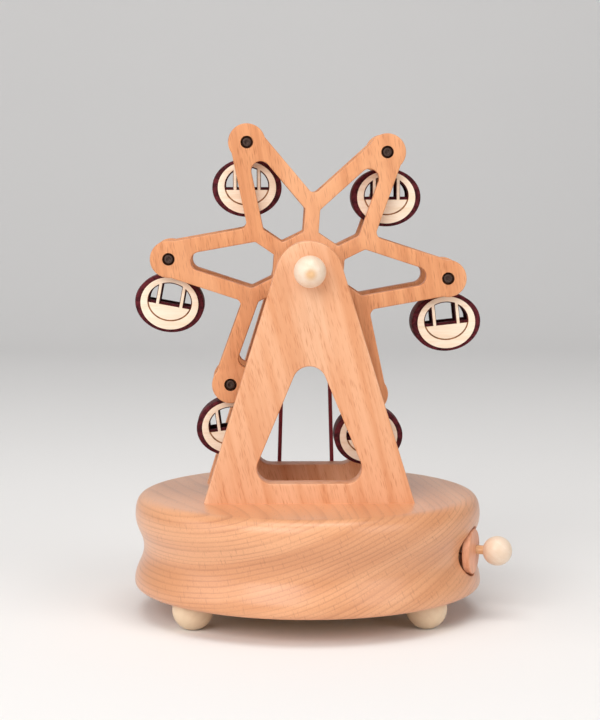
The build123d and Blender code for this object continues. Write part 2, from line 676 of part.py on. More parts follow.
with BuildPart() as crank_disc:
    with BuildSketch(crank_plane(DISC_FACE - DISC_T)):
        Circle(DISC_R)
    extrude(amount=DISC_T)
    fillet(crank_disc.edges().filter_by(GeomType.CIRCLE), 0.4)
    with BuildSketch(crank_plane(DISC_FACE - DISC_T)):
        Circle(SHAFT_R + SEAT_GAP)
    extrude(amount=SHAFT_END - DISC_FACE + DISC_T + SEAT_GAP, mode=Mode.SUBTRACT)
    with BuildSketch(crank_plane(DISC_FACE - PEG_IN_DISC)):
        with Locations((PEG_OFFSET, 0)):
            Circle(PEG_R + SEAT_GAP)
    extrude(amount=PEG_IN_DISC, mode=Mode.SUBTRACT)
save(crank_disc, "crank_disc")

crank_peg = crank_round(PEG_R, DISC_FACE - PEG_IN_DISC, KNOB_SEAT + KNOB_BORE, offset=PEG_OFFSET)
save(crank_peg, "crank_peg")

with BuildPart() as crank_knob:
    with Locations(crank_plane(KNOB_CENTRE).location):
        with Locations((PEG_OFFSET, 0, 0)):
            Sphere(KNOB_R)
    with BuildSketch(crank_plane(KNOB_SEAT)):
        with Locations((PEG_OFFSET, 0)):
            Circle(KNOB_R)
    extrude(amount=-KNOB_R, mode=Mode.SUBTRACT)
    with BuildSketch(crank_plane(KNOB_SEAT)):
        with Locations((PEG_OFFSET, 0)):
            Circle(PEG_R + SEAT_GAP)
    extrude(amount=KNOB_BORE + SEAT_GAP, mode=Mode.SUBTRACT)
save(crank_knob, "crank_knob")


# ================================================================ movement
def bevel_gear(axis, towards, cone, teeth, first_share, back, bore_r, hub_chamfer):
    """Straight bevel gear whose cone ends at the apex.

    axis points from the apex to the gear, towards is square to it and points at the mesh.
    first_share is the first tooth's place there, as a share of the tooth pitch.
    """
    across = axis.cross(towards)
    root_o = (
        CONE_OUTER * math.cos(cone) + TOOTH_DEDENDUM * math.sin(cone),
        CONE_OUTER * math.sin(cone) - TOOTH_DEDENDUM * math.cos(cone),
    )
    inner = (CONE_INNER - HUB_LEAD) / CONE_OUTER
    root_i = (root_o[0] * inner, root_o[1] * inner)
    pitch = 2 * math.pi * CONE_OUTER * math.sin(cone) / teeth
    with BuildPart() as gear:
        with BuildSketch(Plane(origin=APEX, x_dir=axis, z_dir=axis.cross(towards))):
            with BuildLine():
                Polyline(
                    (root_i[0] + hub_chamfer, bore_r),
                    (root_i[0] + hub_chamfer, root_i[1] - hub_chamfer),
                    root_i,
                    root_o,
                    (root_o[0] + back, root_o[1]),
                    (root_o[0] + back, bore_r),
                    close=True,
                )
            make_face()
        revolve(axis=Axis(APEX, axis))
        for tooth in range(teeth):
            turn = 2 * math.pi * (tooth + first_share) / teeth
            out = towards * math.cos(turn) + across * math.sin(turn)
            along = axis * math.cos(cone) + out * math.sin(cone)
            side = out.cross(axis)
            for distance in (CONE_INNER, CONE_OUTER):
                size = distance / CONE_OUTER
                with BuildSketch(Plane(origin=APEX + along * distance, x_dir=side, z_dir=along)):
                    with BuildLine():
                        half = pitch * size / 2
                        low = -(TOOTH_DEDENDUM + 0.15) * size
                        high = TOOTH_ADDENDUM * size
                        Polyline(
                            (-half * TOOTH_ROOT_SHARE, low), (half * TOOTH_ROOT_SHARE, low),
                            (half * TOOTH_SHARE, 0), (half * TOOTH_TIP_SHARE, high),
                            (-half * TOOTH_TIP_SHARE, high), (-half * TOOTH_SHARE, 0),
                            close=True,
                        )
                    make_face()
            loft()
    return gear


FRONT_DIR = Vector(0, -1, 0)
gear_side = (CRANK_DIR - FRONT_DIR * CRANK_DIR.dot(FRONT_DIR)).normalized()
pinion_side = (FRONT_DIR - CRANK_DIR * FRONT_DIR.dot(CRANK_DIR)).normalized()
drum_gear = bevel_gear(FRONT_DIR, gear_side, GEAR_CONE, GEAR_TEETH, 0.5, GEAR_BACK, SHAFT_R + SEAT_GAP, 0.6)
save(drum_gear, "drum_gear")
crank_pinion = bevel_gear(
    CRANK_DIR, pinion_side, PINION_CONE, PINION_TEETH, 0.0, PINION_BACK, SHAFT_R + SEAT_GAP, 0.1
)
save(crank_pinion, "crank_pinion")

arbor_plane = Plane(origin=(AXIS_X, 0, CRANK_Z), x_dir=(1, 0, 0), z_dir=(0, 1, 0))
with BuildPart() as drum_arbor:
    with BuildSketch(arbor_plane.offset(PLATE_Y[0] - 1)):
        Circle(SHAFT_R)
    extrude(amount=PULLEY_FRONT + PULLEY_W - PLATE_Y[0] + 1)
save(drum_arbor, "drum_arbor")

with BuildPart() as pin_cylinder:
    with BuildSketch(arbor_plane.offset(CYLINDER_Y[0])):
        Circle(CYLINDER_R)
        Circle(SHAFT_R + SEAT_GAP, mode=Mode.SUBTRACT)
    extrude(amount=CYLINDER_Y[1] - CYLINDER_Y[0])
    track = (CYLINDER_Y[1] - CYLINDER_Y[0] - 1) / (PIN_TRACKS - 1)
    for row in range(PIN_TRACKS):
        for k in range(PINS_PER_TRACK):
            turn = math.radians(row * 47 + k * 360 / PINS_PER_TRACK + 11)
            out = Vector(math.cos(turn), 0, math.sin(turn))
            foot_at = APEX + Vector(0, CYLINDER_Y[0] + 0.5 + row * track, 0) + out * (CYLINDER_R - 0.3)
            with Locations(Plane(origin=foot_at, z_dir=out).location):
                Cylinder(TUNE_PIN_R, TUNE_PIN_H + 0.3, align=UPRIGHT)
save(pin_cylinder, "pin_cylinder")

COMB_TIP_X = -(CYLINDER_R + TUNE_PIN_H + COMB_GAP)
with BuildPart() as comb:
    with BuildSketch(Plane.XY.offset(CRANK_Z - COMB_T)):
        with Locations((AXIS_X + COMB_BACK_X, CYLINDER_Y[0])):
            Rectangle(
                COMB_TIP_X - COMB_BACK_X, CYLINDER_Y[1] - CYLINDER_Y[0], align=(Align.MIN, Align.MIN)
            )
        for row in range(PIN_TRACKS - 1):
            with Locations((AXIS_X + COMB_BACK_X + COMB_LAND, CYLINDER_Y[0] + 0.5 + (row + 0.5) * track)):
                Rectangle(20, COMB_SLOT, align=(Align.MIN, Align.CENTER), mode=Mode.SUBTRACT)
    extrude(amount=COMB_T)
    with Locations(*[(AXIS_X + COMB_BACK_X + PEDESTAL_W / 2, y, CRANK_Z - COMB_T) for y in COMB_SCREW_Y]):
        Cylinder(SCREW_R + RUN_GAP, COMB_T, align=UPRIGHT, mode=Mode.SUBTRACT)
save(comb, "comb")

comb_screw_places = [(AXIS_X + COMB_BACK_X + PEDESTAL_W / 2, y, CRANK_Z - COMB_T) for y in COMB_SCREW_Y]


def screws(places, through):
    """Screws with their heads below the given places, going up through a plate of this thickness."""
    with BuildPart() as group:
        with Locations(*places):
            Cylinder(SCREW_R, through + SCREW_DEPTH - 0.5, align=UPRIGHT)
            Cylinder(SCREW_HEAD_R, SCREW_HEAD_T, align=(Align.CENTER, Align.CENTER, Align.MAX))
    return group


comb_screws = screws(comb_screw_places, COMB_T)
save(comb_screws, "comb_screws")
plate_screws = screws(plate_screw_places, PLATE_T)
save(plate_screws, "plate_screws")

arbor_post_y = (PLATE_Y[0], PLATE_Y[1] - POST_T)
with BuildPart() as movement_plate:
    with BuildSketch(Plane.XY.offset(PLATE_Z)):
        with Locations((AXIS_X + PLATE_X[0], PLATE_Y[0])):
            Rectangle(PLATE_X[1] - PLATE_X[0], PLATE_Y[1] - PLATE_Y[0], align=(Align.MIN, Align.MIN))
        with Locations(*[(AXIS_X, y + POST_T / 2) for y in arbor_post_y]):
            Rectangle(2 * (TENON_HALF_W + SEAT_GAP), POST_T + 2 * SEAT_GAP, mode=Mode.SUBTRACT)
        post_at = APEX + CRANK_DIR * (CRANK_POST_AT + POST_T / 2)
        with Locations(Location((post_at.X, post_at.Y, 0), (0, 0, CRANK_AZIMUTH))):
            Rectangle(POST_T + 2 * SEAT_GAP, 2 * (TENON_HALF_W + SEAT_GAP), mode=Mode.SUBTRACT)
    extrude(amount=PLATE_T)
    with Locations((AXIS_X + COMB_BACK_X, CYLINDER_Y[0], CRANK_Z)):
        Box(PEDESTAL_W, CYLINDER_Y[1] - CYLINDER_Y[0], PLATE_Z - CRANK_Z,
            align=(Align.MIN, Align.MIN, Align.MIN))
    with Locations(*comb_screw_places):
        Cylinder(SCREW_R + SEAT_GAP, COMB_T + SCREW_DEPTH, align=UPRIGHT, mode=Mode.SUBTRACT)
    with Locations(*plate_screw_places):
        Cylinder(SCREW_R + RUN_GAP, PLATE_T, align=UPRIGHT, mode=Mode.SUBTRACT)
save(movement_plate, "movement_plate")


def bearing_post(plane):
    """Flat post hanging from the plate, with a tenon through it and a bore for the shaft."""
    with BuildPart() as post:
        with BuildSketch(plane):
            with BuildLine():
                Polyline(
                    (-POST_HALF_W, -POST_BELOW), (POST_HALF_W, -POST_BELOW),
                    (POST_HALF_W, PLATE_Z - CRANK_Z), (TENON_HALF_W, PLATE_Z - CRANK_Z),
                    (TENON_HALF_W, POCKET_TOP - CRANK_Z), (-TENON_HALF_W, POCKET_TOP - CRANK_Z),
                    (-TENON_HALF_W, PLATE_Z - CRANK_Z), (-POST_HALF_W, PLATE_Z - CRANK_Z),
                    close=True,
                )
            make_face()
            Circle(SHAFT_R + RUN_GAP, mode=Mode.SUBTRACT)
        extrude(amount=POST_T)
    return post


upright_arbor_plane = Plane(origin=(AXIS_X, 0, CRANK_Z), x_dir=(-1, 0, 0), z_dir=(0, 1, 0))
front_bearing = bearing_post(upright_arbor_plane.offset(arbor_post_y[0]))
save(front_bearing, "front_bearing")
rear_bearing = bearing_post(upright_arbor_plane.offset(arbor_post_y[1]))
save(rear_bearing, "rear_bearing")
crank_bearing = bearing_post(crank_plane(CRANK_POST_AT))
save(crank_bearing, "crank_bearing")
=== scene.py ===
"""Hand-cranked wooden music box with a belt-driven ferris wheel: the visual model.

Sizes are in millimetres in the makers' own fields and become metres when a mesh is made.
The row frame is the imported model's: +Z up, -Y towards the front of the wheel.
"""

from __future__ import annotations

import logging
import math
from collections.abc import Iterable, Sequence
from contextlib import contextmanager
from dataclasses import dataclass, field
from enum import Enum
from typing import Iterator

import bpy
from mathutils import Matrix, Vector

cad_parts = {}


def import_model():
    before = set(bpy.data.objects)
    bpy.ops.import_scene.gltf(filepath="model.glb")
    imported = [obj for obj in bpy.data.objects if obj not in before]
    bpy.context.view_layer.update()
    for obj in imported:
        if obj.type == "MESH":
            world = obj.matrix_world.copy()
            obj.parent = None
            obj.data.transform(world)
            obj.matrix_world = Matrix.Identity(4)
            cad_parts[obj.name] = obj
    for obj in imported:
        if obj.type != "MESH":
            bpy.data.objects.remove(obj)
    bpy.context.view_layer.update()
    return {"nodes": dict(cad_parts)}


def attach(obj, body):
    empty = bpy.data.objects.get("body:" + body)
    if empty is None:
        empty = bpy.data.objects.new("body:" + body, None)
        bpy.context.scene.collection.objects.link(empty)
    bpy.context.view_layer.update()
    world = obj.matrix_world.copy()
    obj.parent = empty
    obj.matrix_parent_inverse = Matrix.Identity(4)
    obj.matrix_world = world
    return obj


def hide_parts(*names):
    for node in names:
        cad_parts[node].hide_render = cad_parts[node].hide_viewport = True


LOG = logging.getLogger("ferris_wheel_toy")

MM = 0.001
SMOOTH_ANGLE = math.radians(20)
BALL_ANGLE = math.radians(30)
DRUM_ANGLE = math.radians(25)
CORD_ANGLE = math.radians(40)
FULL_TURN = 2 * math.pi
MERGE_GAP = 2e-6
TINY_AREA = 1e-9
WAVE_PULL = 0.42

Point2 = tuple[float, float]
Round = tuple[float, float, float]
Colour = tuple[float, float, float]

AXIS_X = -4.0911
"""The base's own axis, left of the row's origin because the crank reaches out on the right."""
AXLE_Z = 109.2
BASE_TOP = 37.8
BASE_BOTTOM = 8.4
CRANK_Z = 21.8
CRANK_ANGLE = math.radians(-20.0)
FRAME_IN = 16.0
FRAME_OUT = 24.0
END_GAP = 0.3
UP = Vector((0, 0, 1))
TO_FRONT = Vector((0, -1, 0))
CRANK_AIM = Vector((math.cos(CRANK_ANGLE), math.sin(CRANK_ANGLE), 0))


def from_axis(x: float, y: float, z: float) -> Vector:
    """Point in millimetres. x is counted from the base's own axis."""
    return Vector((AXIS_X + x, y, z))


class Body(Enum):
    """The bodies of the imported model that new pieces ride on. The cabins' names are counted instead."""

    BASE = "base"
    WHEEL = "wheel"
    CRANK = "crank"


class Slot(Enum):
    """The record's material slots. No piece in this script uses them."""

    BEECH = "beech"
    PALE = "pale_wood"
    FACE = "face_plywood"
    BURGUNDY = "burgundy_stain"
    DARK = "dark_wood"
    SCREW = "dark_screw"
    CORD = "belt_rubber"


class Solid(Enum):
    """How a cutter or a partner changes a piece."""

    CUT = "DIFFERENCE"
    JOIN = "UNION"


class Side(Enum):
    """Front or back of the toy. The value is the sign of y."""

    FRONT = -1
    REAR = 1


def linear(red: int, green: int, blue: int) -> Colour:
    """Linear colour of three screen values from 0 to 255."""
    def channel(value: int) -> float:
        share = value / 255
        return share / 12.92 if share <= 0.04045 else ((share + 0.055) / 1.055) ** 2.4

    return channel(red), channel(green), channel(blue)


# ------------------------------------------------------------------ outlines


def arc(centre: Point2, radius: float, start: float, end: float, steps: int) -> list[Point2]:
    """Points of an arc, both ends included.

    Args:
        centre: Middle of the arc.
        radius: Its radius.
        start: First angle in radians.
        end: Last angle in radians.
        steps: Number of straight steps.

    Returns:
        steps + 1 points.
    """
    angles = (start + (end - start) * k / steps for k in range(steps + 1))
    return [(centre[0] + radius * math.cos(a), centre[1] + radius * math.sin(a)) for a in angles]


def oval(half_w: float, half_h: float, steps: int = 96) -> list[Point2]:
    """Closed oval about (0, 0), counter-clockwise."""
    angles = (FULL_TURN * k / steps for k in range(steps))
    return [(half_w * math.cos(a), half_h * math.sin(a)) for a in angles]


def hull(rounds: Iterable[Round], steps: int = 72) -> list[Point2]:
    """Outline of a tight band round circles.

    Args:
        rounds: Circles as (x, y, radius).
        steps: Points on each circle before the band is drawn.

    Returns:
        The band's points, counter-clockwise.
    """
    turns = [FULL_TURN * k / steps for k in range(steps)]
    cloud = sorted({
        (round(x + r * math.cos(a), 6), round(y + r * math.sin(a), 6)) for x, y, r in rounds for a in turns
    })

    def half(points: Sequence[Point2]) -> list[Point2]:
        """Lower chain of a set of points sorted by x."""
        chain: list[Point2] = []
        for point in points:
            while len(chain) > 1 and cross(chain[-2], chain[-1], point) <= TINY_AREA:
                chain.pop()
            chain.append(point)
        return chain[:-1]

    return half(cloud) + half(cloud[::-1])


def cross(a: Point2, b: Point2, c: Point2) -> float:
    """Twice the signed area of a triangle."""
    return (b[0] - a[0]) * (c[1] - a[1]) - (b[1] - a[1]) * (c[0] - a[0])


def turned(points: Iterable[Point2], angle: float) -> list[Point2]:
    """Points turned counter-clockwise about (0, 0) by an angle in radians."""
    c, s = math.cos(angle), math.sin(angle)
    return [(x * c - y * s, x * s + y * c) for x, y in points]


def shifted(points: Iterable[Point2], dx: float, dy: float) -> list[Point2]:
    """Points moved by (dx, dy)."""
    return [(x + dx, y + dy) for x, y in points]


def bezier(a: Point2, b: Point2, c: Point2, d: Point2, steps: int) -> list[Point2]:
    """Points of a cubic curve from a to d, pulled towards b and c. Both ends are included."""
    points = []
    for k in range(steps + 1):
        t = k / steps
        s = 1 - t
        points.append(tuple(
            s ** 3 * p + 3 * s * s * t * q + 3 * s * t * t * r + t ** 3 * u for p, q, r, u in zip(a, b, c, d)
        ))
    return points


def wave_side(top: Point2, middle: Point2, low: Point2, steps: int) -> list[Point2]:
    """Turned side from one bulge through the waist to the other, upright at all three."""
    half_up = (top[1] - middle[1]) * WAVE_PULL
    half_down = (middle[1] - low[1]) * WAVE_PULL
    upper = bezier(top, (top[0], top[1] - half_up), (middle[0], middle[1] + half_up), middle, steps)
    lower = bezier(middle, (middle[0], middle[1] - half_down), (low[0], low[1] + half_down), low, steps)
    return upper + lower[1:]


# ------------------------------------------------------------------ modelling steps


class Bench:
    """Modelling steps that every maker shares."""

    @staticmethod
    def clear() -> None:
        """Leave edit mode and deselect everything."""
        if bpy.context.mode != "OBJECT":
            bpy.ops.object.mode_set(mode="OBJECT")
        bpy.ops.object.select_all(action="DESELECT")

    @staticmethod
    def pick(*objects: bpy.types.Object) -> None:
        """Select these objects only. The first becomes the active one."""
        Bench.clear()
        for obj in objects:
            obj.select_set(True)
        bpy.context.view_layer.objects.active = objects[0]

    @staticmethod
    @contextmanager
    def edit(obj: bpy.types.Object) -> Iterator[None]:
        """Edit mode on one object with all of its mesh selected."""
        Bench.pick(obj)
        bpy.ops.object.mode_set(mode="EDIT")
        bpy.ops.mesh.select_all(action="SELECT")
        yield
        bpy.ops.object.mode_set(mode="OBJECT")

    @staticmethod
    def named(name: str) -> bpy.types.Object:
        """Name the active object and its mesh, and return it."""
        obj = bpy.context.view_layer.objects.active
        obj.name = name
        obj.data.name = name
        return obj

    @staticmethod
    def settle(obj: bpy.types.Object) -> bpy.types.Object:
        """Put the object's place, turn and size into its mesh."""
        Bench.pick(obj)
        bpy.ops.object.transform_apply(location=True, rotation=True, scale=True)
        return obj

    @staticmethod
    def place(obj: bpy.types.Object, matrix: Matrix) -> bpy.types.Object:
        """Move a mesh by a matrix and leave its object at the origin."""
        obj.matrix_world = matrix
        return Bench.settle(obj)

    @staticmethod
    def aimed(at: Vector, aim: Vector) -> Matrix:
        """Matrix that puts a piece's own z along an aim, at a point in millimetres."""
        return Matrix.Translation(at * MM) @ aim.to_track_quat("Z", "Y").to_matrix().to_4x4()

    @staticmethod
    def copy(obj: bpy.types.Object, name: str) -> bpy.types.Object:
        """Copy of a piece with a mesh of its own."""
        Bench.pick(obj)
        bpy.ops.object.duplicate(linked=False)
        return Bench.named(name)

    @staticmethod
    def apply(obj: bpy.types.Object, kind: str, **settings: object) -> None:
        """Add a modifier, set it and apply it."""
        Bench.pick(obj)
        modifier = obj.modifiers.new(kind, kind)
        for key, value in settings.items():
            setattr(modifier, key, value)
        bpy.ops.object.modifier_apply(modifier=modifier.name)

    @staticmethod
    def combine(obj: bpy.types.Object, other: bpy.types.Object, how: Solid) -> None:
        """Cut another solid out of a piece, or join it on, and delete the other."""
        mode = "TRANSFER" if other.data.materials else "INDEX"
        Bench.apply(obj, "BOOLEAN", operation=how.value, object=other, solver="EXACT",
                    material_mode=mode)
        bpy.data.objects.remove(other)

    @staticmethod
    def merge(objects: Sequence[bpy.types.Object], name: str) -> bpy.types.Object:
        """Put several loose meshes into one object."""
        Bench.pick(*objects)
        bpy.ops.object.join()
        return Bench.named(name)

    @staticmethod
    def finish(obj: bpy.types.Object, angle: float = SMOOTH_ANGLE) -> bpy.types.Object:
        """Merge doubles, face outwards and shade smooth up to an angle."""
        with Bench.edit(obj):
            bpy.ops.mesh.remove_doubles(threshold=MERGE_GAP)
            bpy.ops.mesh.normals_make_consistent(inside=False)
        Bench.pick(obj)
        bpy.ops.object.shade_smooth_by_angle(angle=angle)
        return obj

    @staticmethod
    def peg(name: str, radius: float, length: float, at: Vector, aim: Vector, sides: int = 64
            ) -> bpy.types.Object:
        """Plain round bar for cuts and small fittings.

        Args:
            name: The object's name.
            radius: Radius in millimetres.
            length: Length in millimetres.
            at: Middle of the bar in millimetres.
            aim: Direction of its axis.
            sides: Number of sides.

        Returns:
            The bar, with its place in its mesh.
        """
        Bench.clear()
        bpy.ops.mesh.primitive_cylinder_add(vertices=sides, radius=radius * MM, depth=length * MM)
        return Bench.place(Bench.named(name), Bench.aimed(at, aim))

    @staticmethod
    def lathe(name: str, profile: Sequence[Point2], at: Vector, aim: Vector, steps: int = 128
              ) -> bpy.types.Object:
        """Turned piece: one vertex is extruded along a profile, and the line is spun.

        Args:
            name: The object's name.
            profile: Points as (radius, height along the axis) in millimetres.
            at: Point of the axis at height 0, in millimetres.
            aim: Direction of the axis.
            steps: Facets round the axis.

        Returns:
            The turned piece, with its place in its mesh.
        """
        Bench.clear()
        bpy.ops.mesh.primitive_plane_add(size=MM)
        piece = Bench.named(name)
        with Bench.edit(piece):
            bpy.ops.mesh.merge(type="CENTER")
            here = Vector((profile[0][0], 0, profile[0][1])) * MM
            bpy.ops.transform.translate(value=here)
            for radius, height in profile[1:]:
                there = Vector((radius, 0, height)) * MM
                bpy.ops.mesh.extrude_vertices_move(TRANSFORM_OT_translate={"value": there - here})
                here = there
            bpy.ops.mesh.select_all(action="SELECT")
            bpy.ops.mesh.spin(steps=steps, angle=FULL_TURN, center=(0, 0, 0), axis=(0, 0, 1))
            bpy.ops.mesh.select_all(action="SELECT")
            bpy.ops.mesh.remove_doubles(threshold=MERGE_GAP)
            bpy.ops.mesh.normals_make_consistent(inside=False)
        return Bench.place(piece, Bench.aimed(at, aim))

    @staticmethod
    def board(name: str, outline: Sequence[Point2], holes: Sequence[Sequence[Point2]], front_y: float,
              thickness: float, edge: float, segments: int = 2) -> bpy.types.Object:
        """Flat board seen from the front, sawn to an outline, with softened edges.

        Args:
            name: The object's name.
            outline: Outer edge, counter-clockwise, as (x from the base's axis, z) in millimetres.
            holes: Openings through the board.
            front_y: y of the front face in millimetres.
            thickness: Board thickness in millimetres.
            edge: Radius of the softened edges in millimetres.
            segments: Bevel resolution.

        Returns:
            The board, with its place in its mesh.
        """
        Bench.clear()
        bpy.ops.curve.primitive_bezier_curve_add()
        obj = Bench.named(name)
        curve = obj.data
        curve.splines.clear()
        curve.dimensions = "2D"
        curve.fill_mode = "BOTH"
        curve.extrude = (thickness / 2 - edge) * MM
        curve.bevel_depth = edge * MM
        curve.bevel_resolution = segments
        curve.offset = -edge * MM
        for loop in [list(outline), *[list(reversed(hole)) for hole in holes]]:
            spline = curve.splines.new("POLY")
            spline.points.add(len(loop) - 1)
            for point, (x, z) in zip(spline.points, loop):
                point.co = (x * MM, z * MM, 0, 1)
            spline.use_cyclic_u = True
        Bench.pick(obj)
        bpy.ops.object.convert(target="MESH")
        middle = from_axis(0, front_y + thickness / 2, 0) * MM
        return Bench.place(obj, Matrix.Translation(middle) @ Matrix.Rotation(math.pi / 2, 4, "X"))


def put_on(obj: bpy.types.Object, body: str, finish: bpy.types.Material,
           replaces: Sequence[str] = ()) -> bpy.types.Object:
    """Dress a finished piece, put it on its body and hide the CAD nodes that it replaces.

    Args:
        obj: The piece.
        body: Name of the body that it rides on.
        finish: Its material.
        replaces: CAD nodes that it stands for.

    Returns:
        The piece.
    """
    if not obj.data.materials:
        obj.data.materials.append(finish)
    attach(obj, body)
    if replaces:
        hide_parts(*replaces)
    LOG.info("piece %s rides on %s, %d faces", obj.name, body, len(obj.data.polygons))
    return obj


# ------------------------------------------------------------------ finishes


STROKE_CORE = 0.35
"""Share of a stroke's half width that has its full strength."""


@dataclass(frozen=True)
class Dash:
    """A field of short strokes in wood.

    Args:
        cells: Cells per unit along each axis. Each holds one stroke.
        width: Half width of a stroke, as a share of its cell.
        strength: How far the stroke's colour replaces the wood's.
        shift: Move of the whole field.
    """

    cells: tuple[float, float, float]
    width: float
    strength: float
    shift: tuple[float, float, float] = (0.0, 0.0, 0.0)


class Recipe:
    """Small builder for a material's nodes."""

    def __init__(self, name: str) -> None:
        """Start a material with a shader, an output and object coordinates."""
        self.material = bpy.data.materials.new(name)
        self.material.use_nodes = True
        self.tree = self.material.node_tree
        self.tree.nodes.clear()
        output = self.tree.nodes.new("ShaderNodeOutputMaterial")
        self.shader = self.tree.nodes.new("ShaderNodeBsdfPrincipled")
        self.tree.links.new(self.shader.outputs["BSDF"], output.inputs["Surface"])
        self.place = self.tree.nodes.new("ShaderNodeTexCoord").outputs["Object"]

    def node(self, kind: str, inputs: dict[str | int, object] | None = None, **settings: object
             ) -> bpy.types.Node:
        """Add a node.

        Args:
            kind: The node's type name without its "ShaderNode" start.
            inputs: Values or sockets for its inputs, by name or number.
            settings: The node's own settings.

        Returns:
            The node.
        """
        made = self.tree.nodes.new("ShaderNode" + kind)
        for key, value in settings.items():
            setattr(made, key, value)
        for key, value in (inputs or {}).items():
            if isinstance(value, bpy.types.NodeSocket):
                self.tree.links.new(value, made.inputs[key])
            else:
                made.inputs[key].default_value = value
        return made

    def math(self, operation: str, a: object, b: object = 0.0) -> bpy.types.NodeSocket:
        """Sum, product or other reckoning of two numbers or sockets."""
        return self.node("Math", {0: a, 1: b}, operation=operation).outputs[0]

    def times(self, *factors: object) -> bpy.types.NodeSocket:
        """Product of two or more numbers or sockets."""
        *others, product = factors
        for factor in reversed(others):
            product = self.math("MULTIPLY", factor, product)
        return product

    def mapped(self, move: Vector = Vector(), turn: Sequence[float] = (0, 0, 0),
               size: Sequence[float] = (1, 1, 1), source: bpy.types.NodeSocket | None = None
               ) -> bpy.types.NodeSocket:
        """Coordinates that are moved, turned (in degrees) and scaled."""
        return self.node("Mapping", {
            "Vector": source or self.place,
            "Location": move,
            "Rotation": [math.radians(t) for t in turn],
            "Scale": size,
        }).outputs[0]

    def about(self, centre: Vector) -> bpy.types.NodeSocket:
        """Object coordinates counted from a point in millimetres."""
        return self.node("VectorMath", {0: self.place, 1: centre * MM}, operation="SUBTRACT").outputs[0]

    def noise(self, where: bpy.types.NodeSocket, scale: float, detail: float = 3.0, rough: float = 0.5,
              distortion: float = 0.0) -> bpy.types.NodeSocket:
        """Noise value at some coordinates."""
        return self.node("TexNoise", {
            "Vector": where, "Scale": scale, "Detail": detail, "Roughness": rough, "Distortion": distortion,
        }).outputs[0]

    def band(self, value: bpy.types.NodeSocket, low: float, high: float, at_low: float = 0.0,
             at_high: float = 1.0) -> bpy.types.NodeSocket:
        """Value stretched smoothly from one range to another and held at its ends."""
        return self.node("MapRange", {
            "Value": value, "From Min": low, "From Max": high, "To Min": at_low, "To Max": at_high,
        }, interpolation_type="SMOOTHSTEP").outputs[0]

    def blend(self, amount: object, first: object, second: object) -> bpy.types.NodeSocket:
        """Mix two colours, each a socket or a linear colour."""
        sockets = {
            0: amount,
            6: first if isinstance(first, bpy.types.NodeSocket) else (*first, 1.0),
            7: second if isinstance(second, bpy.types.NodeSocket) else (*second, 1.0),
        }
        return self.node("Mix", sockets, data_type="RGBA").outputs[2]

    def strokes(self, source: bpy.types.NodeSocket, dash: Dash) -> bpy.types.NodeSocket:
        """One short stroke in each cell of stretched coordinates."""
        where = self.mapped(dash.shift, size=dash.cells, source=source)
        cells = self.node("TexVoronoi", {"Vector": where, "Scale": 1.0, "Randomness": 1.0}, feature="F1")
        return self.band(cells.outputs["Distance"], dash.width, dash.width * STROKE_CORE)

    def finish(self, colour: object, roughness: object, bump: bpy.types.NodeSocket | None = None,
               strength: float = 0.2, depth: float = 0.05, **fixed: float) -> bpy.types.Material:
        """Connect the shader.

        Args:
            colour: Base colour, a socket or a linear colour.
            roughness: Roughness, a socket or a number.
            bump: Height of the surface, from 0 to 1.
            strength: Strength of the bump.
            depth: Height of the bump in millimetres.
            fixed: Other shader inputs, with spaces written as underscores.

        Returns:
            The finished material.
        """
        for name, value in (("Base Color", colour), ("Roughness", roughness)):
            if isinstance(value, bpy.types.NodeSocket):
                self.tree.links.new(value, self.shader.inputs[name])
            else:
                self.shader.inputs[name].default_value = (*value, 1.0) if name == "Base Color" else value
        for name, value in fixed.items():
            self.shader.inputs[name.replace("_", " ")].default_value = value
        if bump is not None:
            relief = self.node("Bump", {"Height": bump, "Strength": strength, "Distance": depth * MM})
            self.tree.links.new(relief.outputs[0], self.shader.inputs["Normal"])
        return self.material


@dataclass(frozen=True)
class BoardWood:
    """Beech board with upright grain, soft stripes and short dark ray flecks."""

    name: str
    base: Colour = linear(232, 174, 134)
    light: Colour = linear(246, 200, 164)
    dark: Colour = linear(216, 147, 101)
    fleck: Colour = linear(186, 108, 60)
    lean: float = 14.0
    shear: float = 0.37
    fine: Dash = Dash((2300, 230, 1), 0.40, 0.44)
    bold: Dash = Dash((1750, 185, 1), 0.31, 0.5, (0.3, 0.7, 0))
    offset: Vector = field(default_factory=Vector)
    roughness: float = 0.46

    def build(self) -> bpy.types.Material:
        """Make the material."""
        r = Recipe(self.name)
        grain = r.mapped(self.offset, (0, self.lean, 0))
        waver = r.noise(r.mapped(size=(60, 60, 14), source=grain), 1.0, 2.0)
        stripe = r.noise(r.mapped(size=(330, 330, 9), source=grain), 1.0, 3.0, 0.55, 0.3)
        fibre = r.noise(r.mapped(size=(2400, 2400, 90), source=grain), 1.0, 2.0, 0.6)
        colour = r.blend(r.band(stripe, 0.36, 0.62, 0.25, 1.0), self.dark, self.base)
        colour = r.blend(r.band(waver, 0.45, 0.75), colour, self.light)
        colour = r.blend(r.band(fibre, 0.35, 0.7, 0.16, 0.0), colour, self.dark)
        split = r.node("SeparateXYZ", {0: grain})
        sheared = r.math("ADD", split.outputs["X"], r.times(split.outputs["Y"], self.shear))
        flat = r.node("CombineXYZ", {"X": sheared, "Y": split.outputs["Z"]}).outputs[0]
        gate = r.band(r.noise(r.mapped(size=(260, 70, 1), source=flat), 1.0, 2.0), 0.38, 0.62, 0.4, 1.0)
        for dash in (self.fine, self.bold):
            stroke = r.strokes(flat, dash)
            colour = r.blend(r.times(stroke, gate, dash.strength), colour, self.fleck)
        height = r.math("SUBTRACT", r.times(fibre, 0.6), r.times(stroke, 0.5))
        rough = r.band(fibre, 0.3, 0.8, self.roughness - 0.05, self.roughness + 0.07)
        return r.finish(colour, rough, height, 0.35, 0.03, Specular_IOR_Level=0.42)


